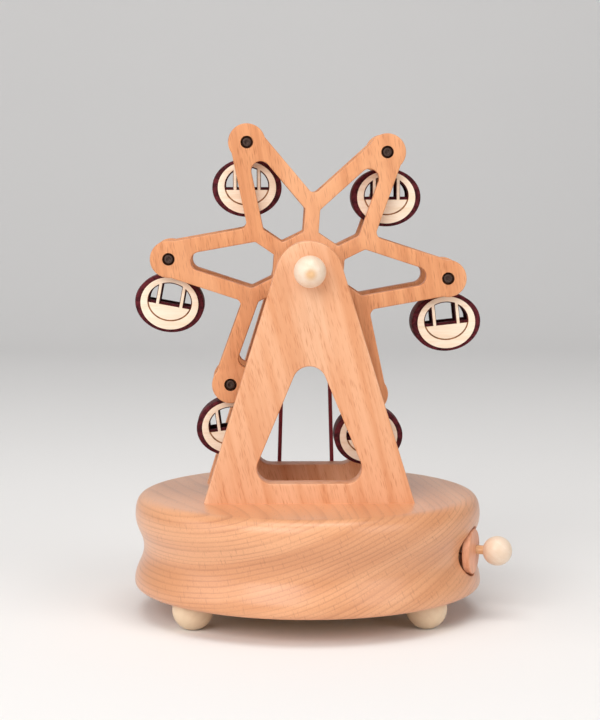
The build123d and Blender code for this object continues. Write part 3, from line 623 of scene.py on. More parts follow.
@dataclass(frozen=True)
class TurnedWood:
    """Beech block cut across its year rings, whose middle lies up and to the left."""

    name: str
    base: Colour = linear(220, 156, 112)
    light: Colour = linear(233, 172, 128)
    line: Colour = linear(168, 104, 70)
    ray: Colour = linear(146, 88, 58)
    pith: Vector = field(default_factory=lambda: from_axis(-98.0, 0, 315.0))
    pith_away: float = 300.0
    tilt: tuple[float, float, float] = (-6.0, 0.0, 4.0)
    ring: float = 1.45
    ring_strength: float = 0.38
    wander: float = 4.2
    hair: Dash = Dash((2.0, 0.55, 0.3), 0.26, 0.3, (0.4, 0.1, 0.7))
    rays: Dash = Dash((1.15, 0.17, 0.12), 0.27, 0.22)
    roughness: float = 0.36

    def build(self) -> bpy.types.Material:
        """Make the material."""
        r = Recipe(self.name)
        centred = r.about(self.pith)
        local = r.mapped(turn=self.tilt, source=centred)
        drift = r.noise(r.mapped(size=(22, 9, 22), source=local), 1.0, 2.0)
        split = r.node("SeparateXYZ", {0: local})
        x, z = split.outputs["X"], split.outputs["Z"]
        reach = r.math("SQRT", r.math("ADD", r.times(x, x), r.times(z, z)))
        wavy = r.math("ADD", reach, r.times(drift, self.wander * MM))
        rings = r.math("DIVIDE", wavy, self.ring * MM)
        uneven = r.noise(r.node("CombineXYZ", {"X": rings}).outputs[0], 0.45, 1.0)
        phase = r.math("FRACT", r.math("ADD", rings, r.times(uneven, 1.6)))
        late = r.times(r.band(phase, 0.55, 0.93), r.band(phase, 1.0, 0.95))
        vigour = r.band(r.noise(r.mapped(size=(70, 30, 70), source=local), 1.0, 2.0), 0.3, 0.7, 0.45, 1.0)
        spokes = r.node("CombineXYZ", {
            "X": r.times(r.math("ARCTAN2", x, z), self.pith_away), "Y": r.times(reach, 1 / MM),
            "Z": r.times(split.outputs["Y"], 1 / MM),
        }).outputs[0]
        pores = r.noise(r.mapped(size=(2600, 500, 2600), source=local), 1.0, 2.0, 0.6)
        layers = r.node("CombineXYZ", {"X": r.times(wavy, 210.0), "Y": drift}).outputs[0]
        colour = r.blend(r.band(r.noise(layers, 1.0, 2.0), 0.35, 0.7), self.base, self.light)
        colour = r.blend(r.times(r.times(late, vigour), self.ring_strength), colour, self.line)
        colour = r.blend(r.band(pores, 0.4, 0.7, 0.12, 0.0), colour, self.line)
        for dash, tone in ((self.hair, self.line), (self.rays, self.ray)):
            colour = r.blend(r.times(r.strokes(spokes, dash), dash.strength), colour, tone)
        height = r.math("SUBTRACT", r.times(pores, 0.5), r.times(late, 0.4))
        rough = r.band(pores, 0.3, 0.8, self.roughness - 0.04, self.roughness + 0.08)
        return r.finish(colour, rough, height, 0.3, 0.03, Specular_IOR_Level=0.3, Coat_Weight=0.6,
                        Coat_Roughness=0.29)


@dataclass(frozen=True)
class BeadWood:
    """Pale fine-grained wood of the balls."""

    name: str
    centre: Vector
    turn: tuple[float, float, float]
    base: Colour = linear(238, 216, 194)
    band: Colour = linear(222, 190, 156)
    spot: Vector | None = None
    spot_colour: Colour = linear(222, 172, 112)
    spot_r: float = 3.0
    spot_ragged: float = 0.8

    def build(self) -> bpy.types.Material:
        """Make the material."""
        r = Recipe(self.name)
        centred = r.about(self.centre)
        local = r.mapped(Vector((0.004, 0.003, 0)), self.turn, source=centred)
        wide = r.noise(r.mapped(size=(520, 520, 40), source=local), 1.0, 2.0, 0.5, 0.5)
        thin = r.noise(r.mapped(size=(2600, 2600, 160), source=local), 1.0, 2.0, 0.6)
        colour = r.blend(r.band(wide, 0.42, 0.7, 0.0, 0.32), self.base, self.band)
        colour = r.blend(r.band(thin, 0.42, 0.7, 0.0, 0.18), colour, self.band)
        if self.spot is not None:
            away = r.node("VectorMath", {0: centred, 1: self.spot * MM}, operation="DISTANCE")
            ragged = r.math("ADD", away.outputs["Value"], r.times(wide, self.spot_ragged * MM))
            near = r.band(ragged, self.spot_r * MM, 0.3 * self.spot_r * MM, 0.0, 0.8)
            colour = r.blend(near, colour, self.spot_colour)
        return r.finish(colour, r.band(thin, 0.3, 0.8, 0.30, 0.42), thin, 0.2, 0.02, Specular_IOR_Level=0.5,
                        Coat_Weight=0.15, Coat_Roughness=0.25)


@dataclass(frozen=True)
class PlyFace:
    """Pale laser-cut plywood sheet with a very fine level grain."""

    name: str
    base: Colour = linear(249, 230, 208)
    vein: Colour = linear(233, 203, 168)

    def build(self) -> bpy.types.Material:
        """Make the material."""
        r = Recipe(self.name)
        wide = r.noise(r.mapped(size=(60, 300, 700), source=r.place), 1.0, 3.0, 0.55, 0.4)
        thin = r.noise(r.mapped(size=(260, 1200, 3600), source=r.place), 1.0, 2.0, 0.6)
        colour = r.blend(r.band(wide, 0.42, 0.7, 0.0, 0.5), self.base, self.vein)
        colour = r.blend(r.band(thin, 0.45, 0.7, 0.0, 0.3), colour, self.vein)
        return r.finish(colour, 0.55, thin, 0.2, 0.02, Specular_IOR_Level=0.35)


@dataclass(frozen=True)
class StainedWood:
    """Dark stained wood with the grain just showing through."""

    name: str
    base: Colour
    deep: Colour
    roughness: float = 0.36
    size: tuple[float, float, float] = (700, 120, 700)
    sheen: float = 0.5

    def build(self) -> bpy.types.Material:
        """Make the material."""
        r = Recipe(self.name)
        wide = r.noise(r.mapped(size=self.size), 1.0, 3.0, 0.55, 0.4)
        thin = r.noise(r.mapped(size=[4 * s for s in self.size]), 1.0, 2.0, 0.6)
        colour = r.blend(r.band(wide, 0.35, 0.65), self.base, self.deep)
        rough = r.band(thin, 0.3, 0.8, self.roughness - 0.05, self.roughness + 0.1)
        return r.finish(colour, rough, thin, 0.25, 0.02, Specular_IOR_Level=self.sheen,
                        Coat_Weight=0.4 * self.sheen, Coat_Roughness=0.3)


@dataclass(frozen=True)
class ScorchAndPaintedShade:
    """Brown scorched edge that a laser leaves on plywood. With darker colours it also gives the painted shade
    on the walls of the wheel's counterbores.
    """

    name: str
    base: Colour = linear(178, 124, 80)
    deep: Colour = linear(128, 82, 50)

    def build(self) -> bpy.types.Material:
        """Make the material."""
        r = Recipe(self.name)
        layers = r.noise(r.mapped(size=(300, 2600, 300)), 1.0, 2.0, 0.6)
        colour = r.blend(r.band(layers, 0.4, 0.65), self.base, self.deep)
        return r.finish(colour, 0.7, layers, 0.3, 0.02, Specular_IOR_Level=0.25)


@dataclass(frozen=True)
class Metal:
    """Metal with fine machining marks along one direction."""

    name: str
    base: Colour
    roughness: float
    marks: tuple[float, float, float] = (2200, 2200, 60)
    metallic: float = 1.0
    stain: float = 0.72

    def build(self) -> bpy.types.Material:
        """Make the material."""
        r = Recipe(self.name)
        marks = r.noise(r.mapped(size=self.marks), 1.0, 2.0, 0.5)
        stain = r.noise(r.mapped(size=(120, 120, 120)), 1.0, 2.0)
        darker = tuple(self.stain * c for c in self.base)
        colour = r.blend(r.band(stain, 0.4, 0.75, 0.0, 0.6), self.base, darker)
        rough = r.band(marks, 0.3, 0.7, self.roughness - 0.05, self.roughness + 0.08)
        return r.finish(colour, rough, marks, 0.15, 0.01, Metallic=self.metallic)


@dataclass(frozen=True)
class ElasticCord:
    """Dark red round elastic with a fine ribbed cover."""

    name: str
    base: Colour = linear(168, 64, 84)
    deep: Colour = linear(122, 40, 58)

    def build(self) -> bpy.types.Material:
        """Make the material."""
        r = Recipe(self.name)
        weave = r.node("TexWave", {
            "Vector": r.mapped(turn=(0, 38, 0)), "Scale": 620.0, "Distortion": 0.6, "Detail": 1.0,
        }, wave_type="BANDS", bands_direction="Z").outputs["Fac"]
        cover = r.noise(r.mapped(size=(900, 900, 900)), 1.0, 2.0)
        colour = r.blend(weave, self.deep, self.base)
        colour = r.blend(r.band(cover, 0.4, 0.7, 0.0, 0.4), colour, self.deep)
        return r.finish(colour, 0.62, weave, 0.5, 0.06, Specular_IOR_Level=0.4, Sheen_Weight=0.15)


@dataclass(frozen=True)
class PlainCover:
    """Thin plywood of the bottom cover."""

    name: str
    base: Colour = linear(214, 178, 132)
    vein: Colour = linear(176, 132, 86)

    def build(self) -> bpy.types.Material:
        """Make the material."""
        r = Recipe(self.name)
        rings = r.node("TexWave", {
            "Vector": r.mapped(size=(1, 0.12, 1)), "Scale": 26.0, "Distortion": 9.0, "Detail": 3.0,
            "Detail Scale": 1.6,
        }, wave_type="BANDS", bands_direction="X").outputs["Fac"]
        thin = r.noise(r.mapped(size=(2200, 120, 2200)), 1.0, 2.0, 0.6)
        colour = r.blend(r.band(rings, 0.3, 0.9, 0.0, 0.5), self.base, self.vein)
        colour = r.blend(r.band(thin, 0.4, 0.7, 0.0, 0.35), colour, self.vein)
        return r.finish(colour, 0.6, thin, 0.3, 0.03, Specular_IOR_Level=0.35)


class Finishes:
    """All materials of the toy, each made once."""

    def __init__(self) -> None:
        """Make every material."""
        self.base = TurnedWood("turned_beech").build()
        self.front_frame = BoardWood("frame_beech_front", offset=Vector((0.013, 0.02, 0.05))).build()
        self.rear_frame = BoardWood("frame_beech_rear", offset=Vector((0.31, 0.22, 0.45))).build()
        self.wheel = {
            side: BoardWood(
                f"wheel_beech_{side.name.lower()}", lean=9.0, offset=Vector((0.11, 0.17 * side.value, 0.33)),
                base=linear(224, 156, 108), light=linear(234, 173, 128), dark=linear(203, 132, 86),
                fleck=linear(158, 86, 46),
            ).build()
            for side in Side
        }
        self.hub = BoardWood("hub_beech", lean=90.0, offset=Vector((0.5, 0.1, 0.2))).build()
        self.disc = StainedWood(
            "disc_beech", linear(236, 172, 136), linear(220, 152, 114), 0.48, (900, 900, 130)).build()
        self.peg = StainedWood(
            "peg_wood", linear(238, 194, 148), linear(216, 164, 116), 0.5, (260, 260, 1500)).build()
        self.drum = StainedWood("drum_stain", linear(98, 34, 42), linear(60, 18, 24), 0.62, sheen=0.1).build()
        self.pulley = StainedWood(
            "pulley_stain", linear(112, 66, 46), linear(74, 40, 28), 0.42, (420, 420, 420)).build()
        self.face = PlyFace("face_birch").build()
        self.burnt = ScorchAndPaintedShade("laser_edge").build()
        # Painted shade: dark brown on the walls of the wheel's counterbores, round the screw heads.
        self.hole = ScorchAndPaintedShade("counterbore_painted_shade", linear(112, 66, 42), linear(70, 38, 24)).build()
        self.cord = ElasticCord("belt_elastic").build()
        self.screw = Metal("blackened_screw", linear(82, 64, 57), 0.42, metallic=0.75).build()
        self.steel = Metal("bright_steel", linear(196, 196, 198), 0.3).build()
        self.zinc = Metal("zinc_plate", linear(176, 178, 182), 0.42, (90, 2000, 900)).build()
        self.brass = Metal("brass", linear(214, 170, 92), 0.3, (2200, 90, 2200)).build()
        self.cover = PlainCover("cover_birch").build()


# ------------------------------------------------------------------ base


@dataclass
class TurnedBase:
    """Turned beech base with a crank recess, belt holes and four ball feet."""

    finishes: Finishes
    waist_r: float = 52.1
    flat_r: float = 49.7
    lower_r: float = 55.0
    upper_r: float = 54.7
    waist_z: float = 21.2
    upper_z: float = 31.4
    lower_round: float = 1.8
    rebate_r: float = 38.4
    rebate_top: float = 11.0
    pocket_r: float = 34.5
    pocket_top: float = 32.4
    recess_r: float = 7.8
    recess_floor: float = 49.5
    bush_r: float = 2.62
    belt_hole_r: float = 1.6
    belt_hole_x: float = 8.83
    belt_y: float = 26.8
    foot_r: float = 6.35
    foot_flat_r: float = 1.5
    foot_x: float = 35.7
    foot_y: float = 28.6
    shoulder_in: float = 1.7
    shoulder_drop: float = 1.4
    top_rings: tuple[float, ...] = (0, 12, 24, 36, 44)
    bottom_ring: float = 43.4
    recess_soft: float = 0.5
    recess_cut: float = 12.0
    bore_cut: float = 24.0
    bore_middle: float = 43.0
    belt_hole_cut: float = 8.0
    belt_hole_soft: float = 0.4
    hair: float = 0.05

    def profile(self) -> list[Point2]:
        """Profile from the middle of the top, round the outside and into the hollow."""
        bulge = bezier(
            (self.flat_r, BASE_TOP), (self.upper_r - self.shoulder_in, BASE_TOP),
            (self.upper_r, BASE_TOP - self.shoulder_drop), (self.upper_r, self.upper_z), 16)
        lower = BASE_BOTTOM + self.lower_round
        widest, narrowest = (self.upper_r, self.upper_z), (self.waist_r, self.waist_z)
        waist = wave_side(widest, narrowest, (self.lower_r, lower), 15)
        foot = arc((self.lower_r - self.lower_round, lower), self.lower_round, 0, -math.pi / 2, 8)
        return [
            *((radius, BASE_TOP) for radius in self.top_rings), *bulge, *waist[1:], *foot[1:],
            (self.bottom_ring, BASE_BOTTOM), (self.rebate_r, BASE_BOTTOM), (self.rebate_r, self.rebate_top),
            (self.pocket_r, self.rebate_top), (self.pocket_r, self.pocket_top), (0, self.pocket_top),
        ]

    def body(self) -> bpy.types.Object:
        """Turn the base, then cut the recess, the bushing's bore and the belt's holes."""
        base = Bench.lathe("turned_base", self.profile(), from_axis(0, 0, 0), UP, 256)
        centre = from_axis(0, 0, CRANK_Z)
        r, soft, deep = self.recess_r, self.recess_soft, self.recess_cut
        recess = Bench.lathe("recess_cutter", [(0, 0), (r - soft, 0), (r, soft), (r, deep), (0, deep)],
                             centre + CRANK_AIM * self.recess_floor, CRANK_AIM, 96)
        Bench.combine(base, recess, Solid.CUT)
        middle = centre + CRANK_AIM * self.bore_middle
        bore = Bench.peg("bore_cutter", self.bush_r, self.bore_cut, middle, CRANK_AIM)
        Bench.combine(base, bore, Solid.CUT)
        r, soft, deep = self.belt_hole_r, self.belt_hole_soft, self.belt_hole_cut
        countersunk = [(0, -deep), (r, -deep), (r, self.hair - soft), (r + soft, self.hair), (r + soft, 1),
                       (0, 1)]
        for side in (-1, 1):
            at = from_axis(side * self.belt_hole_x, self.belt_y, BASE_TOP)
            Bench.combine(base, Bench.lathe("hole_cutter", countersunk, at, UP, 48), Solid.CUT)
        return Bench.finish(base)

    def foot(self, name: str, at: Vector) -> bpy.types.Object:
        """Turn one ball foot with the flat that it stands on."""
        rise = math.sqrt(self.foot_r ** 2 - self.foot_flat_r ** 2)
        start = -math.acos(self.foot_flat_r / self.foot_r)
        ball = arc((0, rise), self.foot_r, start, math.pi / 2, 44)
        profile = [(0, self.hair), (self.foot_flat_r * 0.6, 0.0), *ball[:-1], (0, rise + self.foot_r)]
        return Bench.finish(Bench.lathe(name, profile, at, UP, 96), BALL_ANGLE)

    def build(self) -> None:
        """Make the base and its feet."""
        f = self.finishes
        put_on(self.body(), Body.BASE.value, f.base, ["base_body"])
        places = [(sx, sy) for sy in (-1, 1) for sx in (-1, 1)]
        for number, (sx, sy) in enumerate(places, start=1):
            at = from_axis(sx * self.foot_x, sy * self.foot_y, 0)
            foot = self.foot(f"ball_foot_{number}", at)
            grain = (20 * number, 35 * sx, 0)
            wood = BeadWood(f"bead_foot_{number}", at, grain, linear(233, 207, 174)).build()
            put_on(foot, Body.BASE.value, wood, [f"foot_{number}"])


# ------------------------------------------------------------------ A-frames


@dataclass
class AFrame:
    """Flat upright board with an arched opening."""

    finishes: Finishes
    side: Side
    foot_w: float = 64.8
    top_r: float = 10.3
    top_drop: float = 1.3
    sill: float = 6.1
    arch_half_w: float = 16.1
    arch_corner_r: float = 4.8
    arch_top: float = 42.3
    arch_top_r: float = 5.2
    thickness: float = 8.0
    edge: float = 0.45
    bore_r: float = 2.05
    buried: float = 1.0
    corner: float = 0.02

    def leg_slope(self) -> float:
        """Sideways run of the leg's outer edge for each millimetre down."""
        rise = AXLE_Z - self.top_drop - BASE_TOP
        half = self.foot_w / 2
        run = math.hypot(half, rise)
        lean = math.atan2(half, rise) - math.asin(self.top_r / run)
        return math.tan(lean)

    def build(self) -> None:
        """Make the board, with its feet sawn level with the base's top."""
        slope = self.leg_slope()
        low = self.foot_w / 2 + slope * self.buried
        outline = hull([
            (0, AXLE_Z - self.top_drop, self.top_r),
            (-low + self.corner, BASE_TOP - self.buried, self.corner),
            (low - self.corner, BASE_TOP - self.buried, self.corner),
        ], 120)
        reach = self.arch_half_w - self.arch_corner_r
        low = BASE_TOP + self.sill + self.arch_corner_r
        arch = hull([
            (0, BASE_TOP + self.arch_top - self.arch_top_r, self.arch_top_r),
            (-reach, low, self.arch_corner_r), (reach, low, self.arch_corner_r),
        ], 96)
        bore = shifted(oval(self.bore_r, self.bore_r, 48), 0, AXLE_Z)
        name = self.side.name.lower()
        front_y = -FRAME_OUT if self.side is Side.FRONT else FRAME_IN
        board = Bench.board(
            f"{name}_frame_board", outline, [arch, bore], front_y, self.thickness, self.edge, 3)
        with Bench.edit(board):
            bpy.ops.mesh.bisect(
                plane_co=(0, 0, BASE_TOP * MM), plane_no=(0, 0, 1), use_fill=True, clear_inner=True)
        wood = self.finishes.front_frame if self.side is Side.FRONT else self.finishes.rear_frame
        put_on(Bench.finish(board), Body.BASE.value, wood, [f"{name}_a_frame"])


# ------------------------------------------------------------------ wheel


@dataclass
class FerrisWheel:
    """Two six-petal boards, the pins between them, the hub and the axle."""

    finishes: Finishes
    half_depth: float = 12.0
    board_t: float = 4.5
    start_deg: float = -4.0
    petals: int = 6
    pin_circle_r: float = 43.4
    lobe_r: float = 5.75
    neck_r: float = 5.25
    node_r: float = 19.4
    strut_half_w: float = 2.35
    strut_tip_offset: float = 3.0
    spoke_half_w: float = 2.3
    hole_inner: float = 10.9
    shoulder_round: float = 1.2
    inner_round: float = 0.8
    valley_round: float = 2.0
    tip_inset: float = 9.8
    edge: float = 0.4
    counterbore_r: float = 1.95
    counterbore_depth: float = 1.6
    pin_r: float = 0.8
    head_r: float = 1.45
    head_t: float = 1.1
    axle_r: float = 2.0
    cap_r: float = 4.9
    cap_flat_r: float = 2.5
    spool_r: float = 6.0
    spacer_r: float = 4.6
    head_soft: float = 0.35
    socket_r: float = 0.62
    socket_soft: float = 0.12
    socket_depth: float = 0.7
    socket_cone: float = 0.15
    axle_tail: float = 5.0
    axle_soft: float = 0.3
    bore_gap: float = 0.02
    dimple_r: float = 0.9
    dimple: float = 0.12

    @property
    def node(self) -> Point2:
        """Place where a petal meets its neighbour, in the petal's own axes."""
        half = math.pi / self.petals
        return self.node_r * math.cos(half), self.node_r * math.sin(half)

    def angles(self) -> list[float]:
        """Turn of each petal in radians."""
        return [math.radians(self.start_deg) + FULL_TURN * k / self.petals for k in range(self.petals)]

    def pins(self) -> list[Point2]:
        """Pin places as (x from the base's axis, z)."""
        r = self.pin_circle_r
        return [(r * math.cos(a), AXLE_Z + r * math.sin(a)) for a in self.angles()]

    def strut_line(self, offset: float) -> Point2:
        """Line beside the strut's middle, as (slope, height at x = 0)."""
        node = self.node
        slope = (self.strut_tip_offset - node[1]) / (self.pin_circle_r - node[0])
        return slope, node[1] - slope * node[0] + offset * math.hypot(1, slope)

    def spoke_line(self, offset: float) -> Point2:
        """Line beside the spoke's middle, as (slope, height at x = 0)."""
        slope = math.tan(math.pi / self.petals)
        return slope, offset * math.hypot(1, slope)

    def hole(self) -> list[Point2]:
        """Opening of a petal that lies along +x."""
        slope, height = self.strut_line(-self.strut_half_w)
        tip_x = self.pin_circle_r - self.tip_inset
        tip_r = (height + slope * tip_x) / math.hypot(1, slope)
        strut = self.strut_line(-self.strut_half_w - self.shoulder_round)
        spoke = self.spoke_line(-self.spoke_half_w - self.shoulder_round)
        shoulder_x = (strut[1] - spoke[1]) / (spoke[0] - strut[0])
        shoulder_y = spoke[1] + spoke[0] * shoulder_x
        inner = self.spoke_line(-self.spoke_half_w - self.inner_round)
        inner_x = self.hole_inner + self.inner_round
        inner_y = inner[1] + inner[0] * inner_x
        rounds = [(tip_x, 0.0, tip_r)]
        rounds += [(shoulder_x, side * shoulder_y, self.shoulder_round) for side in (-1, 1)]
        rounds += [(inner_x, side * inner_y, self.inner_round) for side in (-1, 1)]
        return hull(rounds, 96)

    def outline(self) -> list[Point2]:
        """Outer edge of the wheel about the axle, counter-clockwise."""
        node, lobe_x = self.node, self.pin_circle_r
        run = math.hypot(lobe_x - node[0], node[1])
        along = math.atan2(-node[1], lobe_x - node[0])
        swing = math.acos((self.strut_half_w - self.neck_r) / run)
        normal = along + swing
        edge_at = (node[0] + self.strut_half_w * math.cos(normal),
                   node[1] + self.strut_half_w * math.sin(normal))
        heading = normal - math.pi / 2
        step = (math.cos(heading), math.sin(heading))
        # where the strut's edge meets the lobe's circle
        to_lobe = (edge_at[0] - lobe_x, edge_at[1])
        dot = to_lobe[0] * step[0] + to_lobe[1] * step[1]
        gap = to_lobe[0] ** 2 + to_lobe[1] ** 2 - self.lobe_r ** 2
        travel = -dot - math.sqrt(dot * dot - gap)
        meet = (edge_at[0] + travel * step[0], edge_at[1] + travel * step[1])
        meet_angle = math.atan2(meet[1], meet[0] - lobe_x)
        # rounded valley between two petals, centred on the line half way between them
        half = math.pi / self.petals
        across = math.sin(half - heading)
        valley = (math.sin(-heading) * edge_at[0] + math.cos(heading) * edge_at[1]) / across
        centre_r = valley + self.valley_round / across
        centre = (centre_r * math.cos(half), centre_r * math.sin(half))
        first = normal - math.pi
        last = 2 * half - first
        petal = arc((lobe_x, 0), self.lobe_r, -meet_angle, meet_angle, 60)
        sweep = (FULL_TURN - (last - first)) % math.pi
        valley_arc = arc(centre, self.valley_round, first, first - sweep, 14)
        points: list[Point2] = []
        for angle in self.angles():
            points += turned(petal + valley_arc, angle)
        return points

    def board(self, side: Side) -> None:
        """Saw one board and drill its counterbores."""
        outline = shifted(self.outline(), 0, AXLE_Z)
        holes = [shifted(turned(self.hole(), a), 0, AXLE_Z) for a in self.angles()]
        front_y = -self.half_depth if side is Side.FRONT else self.half_depth - self.board_t
        name = side.name.lower()
        board = Bench.board(f"wheel_board_{name}", outline, holes, front_y, self.board_t, self.edge, 3)
        Bench.finish(board)
        depth = self.counterbore_depth + 1
        mouth = side.value * (self.half_depth - self.counterbore_depth + depth / 2)
        cutters = [
            Bench.peg(f"cutter_{k}", self.counterbore_r, depth, from_axis(x, mouth, z), TO_FRONT, 48)
            for k, (x, z) in enumerate(self.pins())
        ]
        cutter = Bench.merge(cutters, "counterbores")
        board.data.materials.append(self.finishes.wheel[side])
        # The counterbores' walls get the hole finish, a dark brown painted shade.
        cutter.data.materials.append(self.finishes.hole)
        Bench.combine(board, cutter, Solid.CUT)
        Bench.finish(board)
        put_on(board, Body.WHEEL.value, self.finishes.wheel[side], [f"wheel_{name}_frame"])

    def screw_profile(self) -> list[Point2]:
        """Half of a pivot screw from its middle to its head, with a rounded rim and a socket."""
        seat = self.half_depth - self.counterbore_depth
        top = seat + self.head_t
        rim = arc((self.head_r - self.head_soft, top - self.head_soft), self.head_soft, 0, math.pi / 2, 5)
        mouth, floor = self.socket_r + self.socket_soft, top - self.socket_depth
        return [
            (0, 0), (self.pin_r, 0), (self.pin_r, seat), (self.head_r, seat), *rim, (mouth, top),
            (self.socket_r, top - self.socket_soft), (self.socket_r, floor), (0, floor - self.socket_cone),
        ]

    def pivots(self) -> None:
        """Turn one pivot screw and set a copy at each lobe, with a head at both ends."""
        front = Bench.lathe("pivot_front", self.screw_profile(), Vector(), TO_FRONT, 48)
        rear = Bench.lathe("pivot_rear", self.screw_profile(), Vector(), -TO_FRONT, 48)
        model = Bench.merge([front, rear], "pivot_model")
        copies = []
        for k, (x, z) in enumerate(self.pins()):
            screw = Bench.copy(model, f"pivot_{k}")
            copies.append(Bench.place(screw, Matrix.Translation(from_axis(x, 0, z) * MM)))
        bpy.data.objects.remove(model)
        screws = Bench.finish(Bench.merge(copies, "pivot_screws"), BALL_ANGLE)
        put_on(screws, Body.WHEEL.value, self.finishes.screw, ["gondola_pins"])

    def sleeve(self, name: str, radius: float, front: float, length: float, node: str) -> None:
        """Turned sleeve on the axle with softened rims."""
        bore, soft, bend = self.axle_r + self.bore_gap, 0.35, 0.1
        rim = [(radius - soft, 0), (radius - bend, bend), (radius, soft)]
        profile = [(bore, 0), *rim, *((r, length - h) for r, h in reversed(rim)), (bore, length), (bore, 0)]
        piece = Bench.lathe(name, profile, from_axis(0, front, AXLE_Z), -TO_FRONT, 72)
        put_on(Bench.finish(piece), Body.WHEEL.value, self.finishes.hub, [node])

    def axle(self) -> None:
        """Turn the axle and the ball cap on its front end."""
        seat = math.sqrt(self.cap_r ** 2 - self.cap_flat_r ** 2)
        centre = from_axis(0, -(FRAME_OUT + END_GAP + seat), AXLE_Z)
        start, end = -(FRAME_OUT + END_GAP + self.axle_tail), -centre.y + self.cap_r / 3
        r, soft = self.axle_r, self.axle_soft
        profile = [(0, start), (r - soft, start), (r, start + soft), (r, end - soft), (r - soft, end),
                   (0, end)]
        rod = Bench.lathe("axle_dowel", profile, from_axis(0, 0, AXLE_Z), TO_FRONT, 64)
        put_on(Bench.finish(rod, BALL_ANGLE), Body.WHEEL.value, self.finishes.peg,
               ["wheel_axle"])
        bore, deep = self.axle_r + self.bore_gap, self.cap_r / 3 + self.bore_gap
        stop = math.acos(self.dimple_r / self.cap_r)
        ball = arc((0, 0), self.cap_r, -math.acos(self.cap_flat_r / self.cap_r), stop, 48)
        pole, floor = ball[-1][1], ball[-1][1] - self.dimple
        profile = [(0, deep), (bore, deep), (bore, -seat), *ball,
                   (self.dimple_r * 0.7, pole - self.dimple * 0.6), (self.dimple_r * 0.35, floor), (0, floor)]
        cap = Bench.lathe("axle_ball_cap", profile, centre, TO_FRONT, 96)
        wood = BeadWood("bead_cap", centre, (70, 10, 0), spot=Vector((0.15, -self.cap_r, -0.7))).build()
        put_on(Bench.finish(cap, BALL_ANGLE), Body.WHEEL.value, wood, ["axle_cap"])

    def build(self) -> None:
        """Make the wheel."""
        for side in Side:
            self.board(side)
        self.pivots()
        inner = self.half_depth - self.board_t
        self.sleeve("hub_sleeve", self.spool_r, -inner, 2 * inner, "hub_spool")
        gap = FRAME_IN - self.half_depth - END_GAP
        self.sleeve("front_collar", self.spacer_r, -self.half_depth - gap, gap, "front_spacer")
        self.sleeve("rear_collar", self.spacer_r, self.half_depth, gap, "rear_spacer")
        self.axle()


# ------------------------------------------------------------------ gondolas


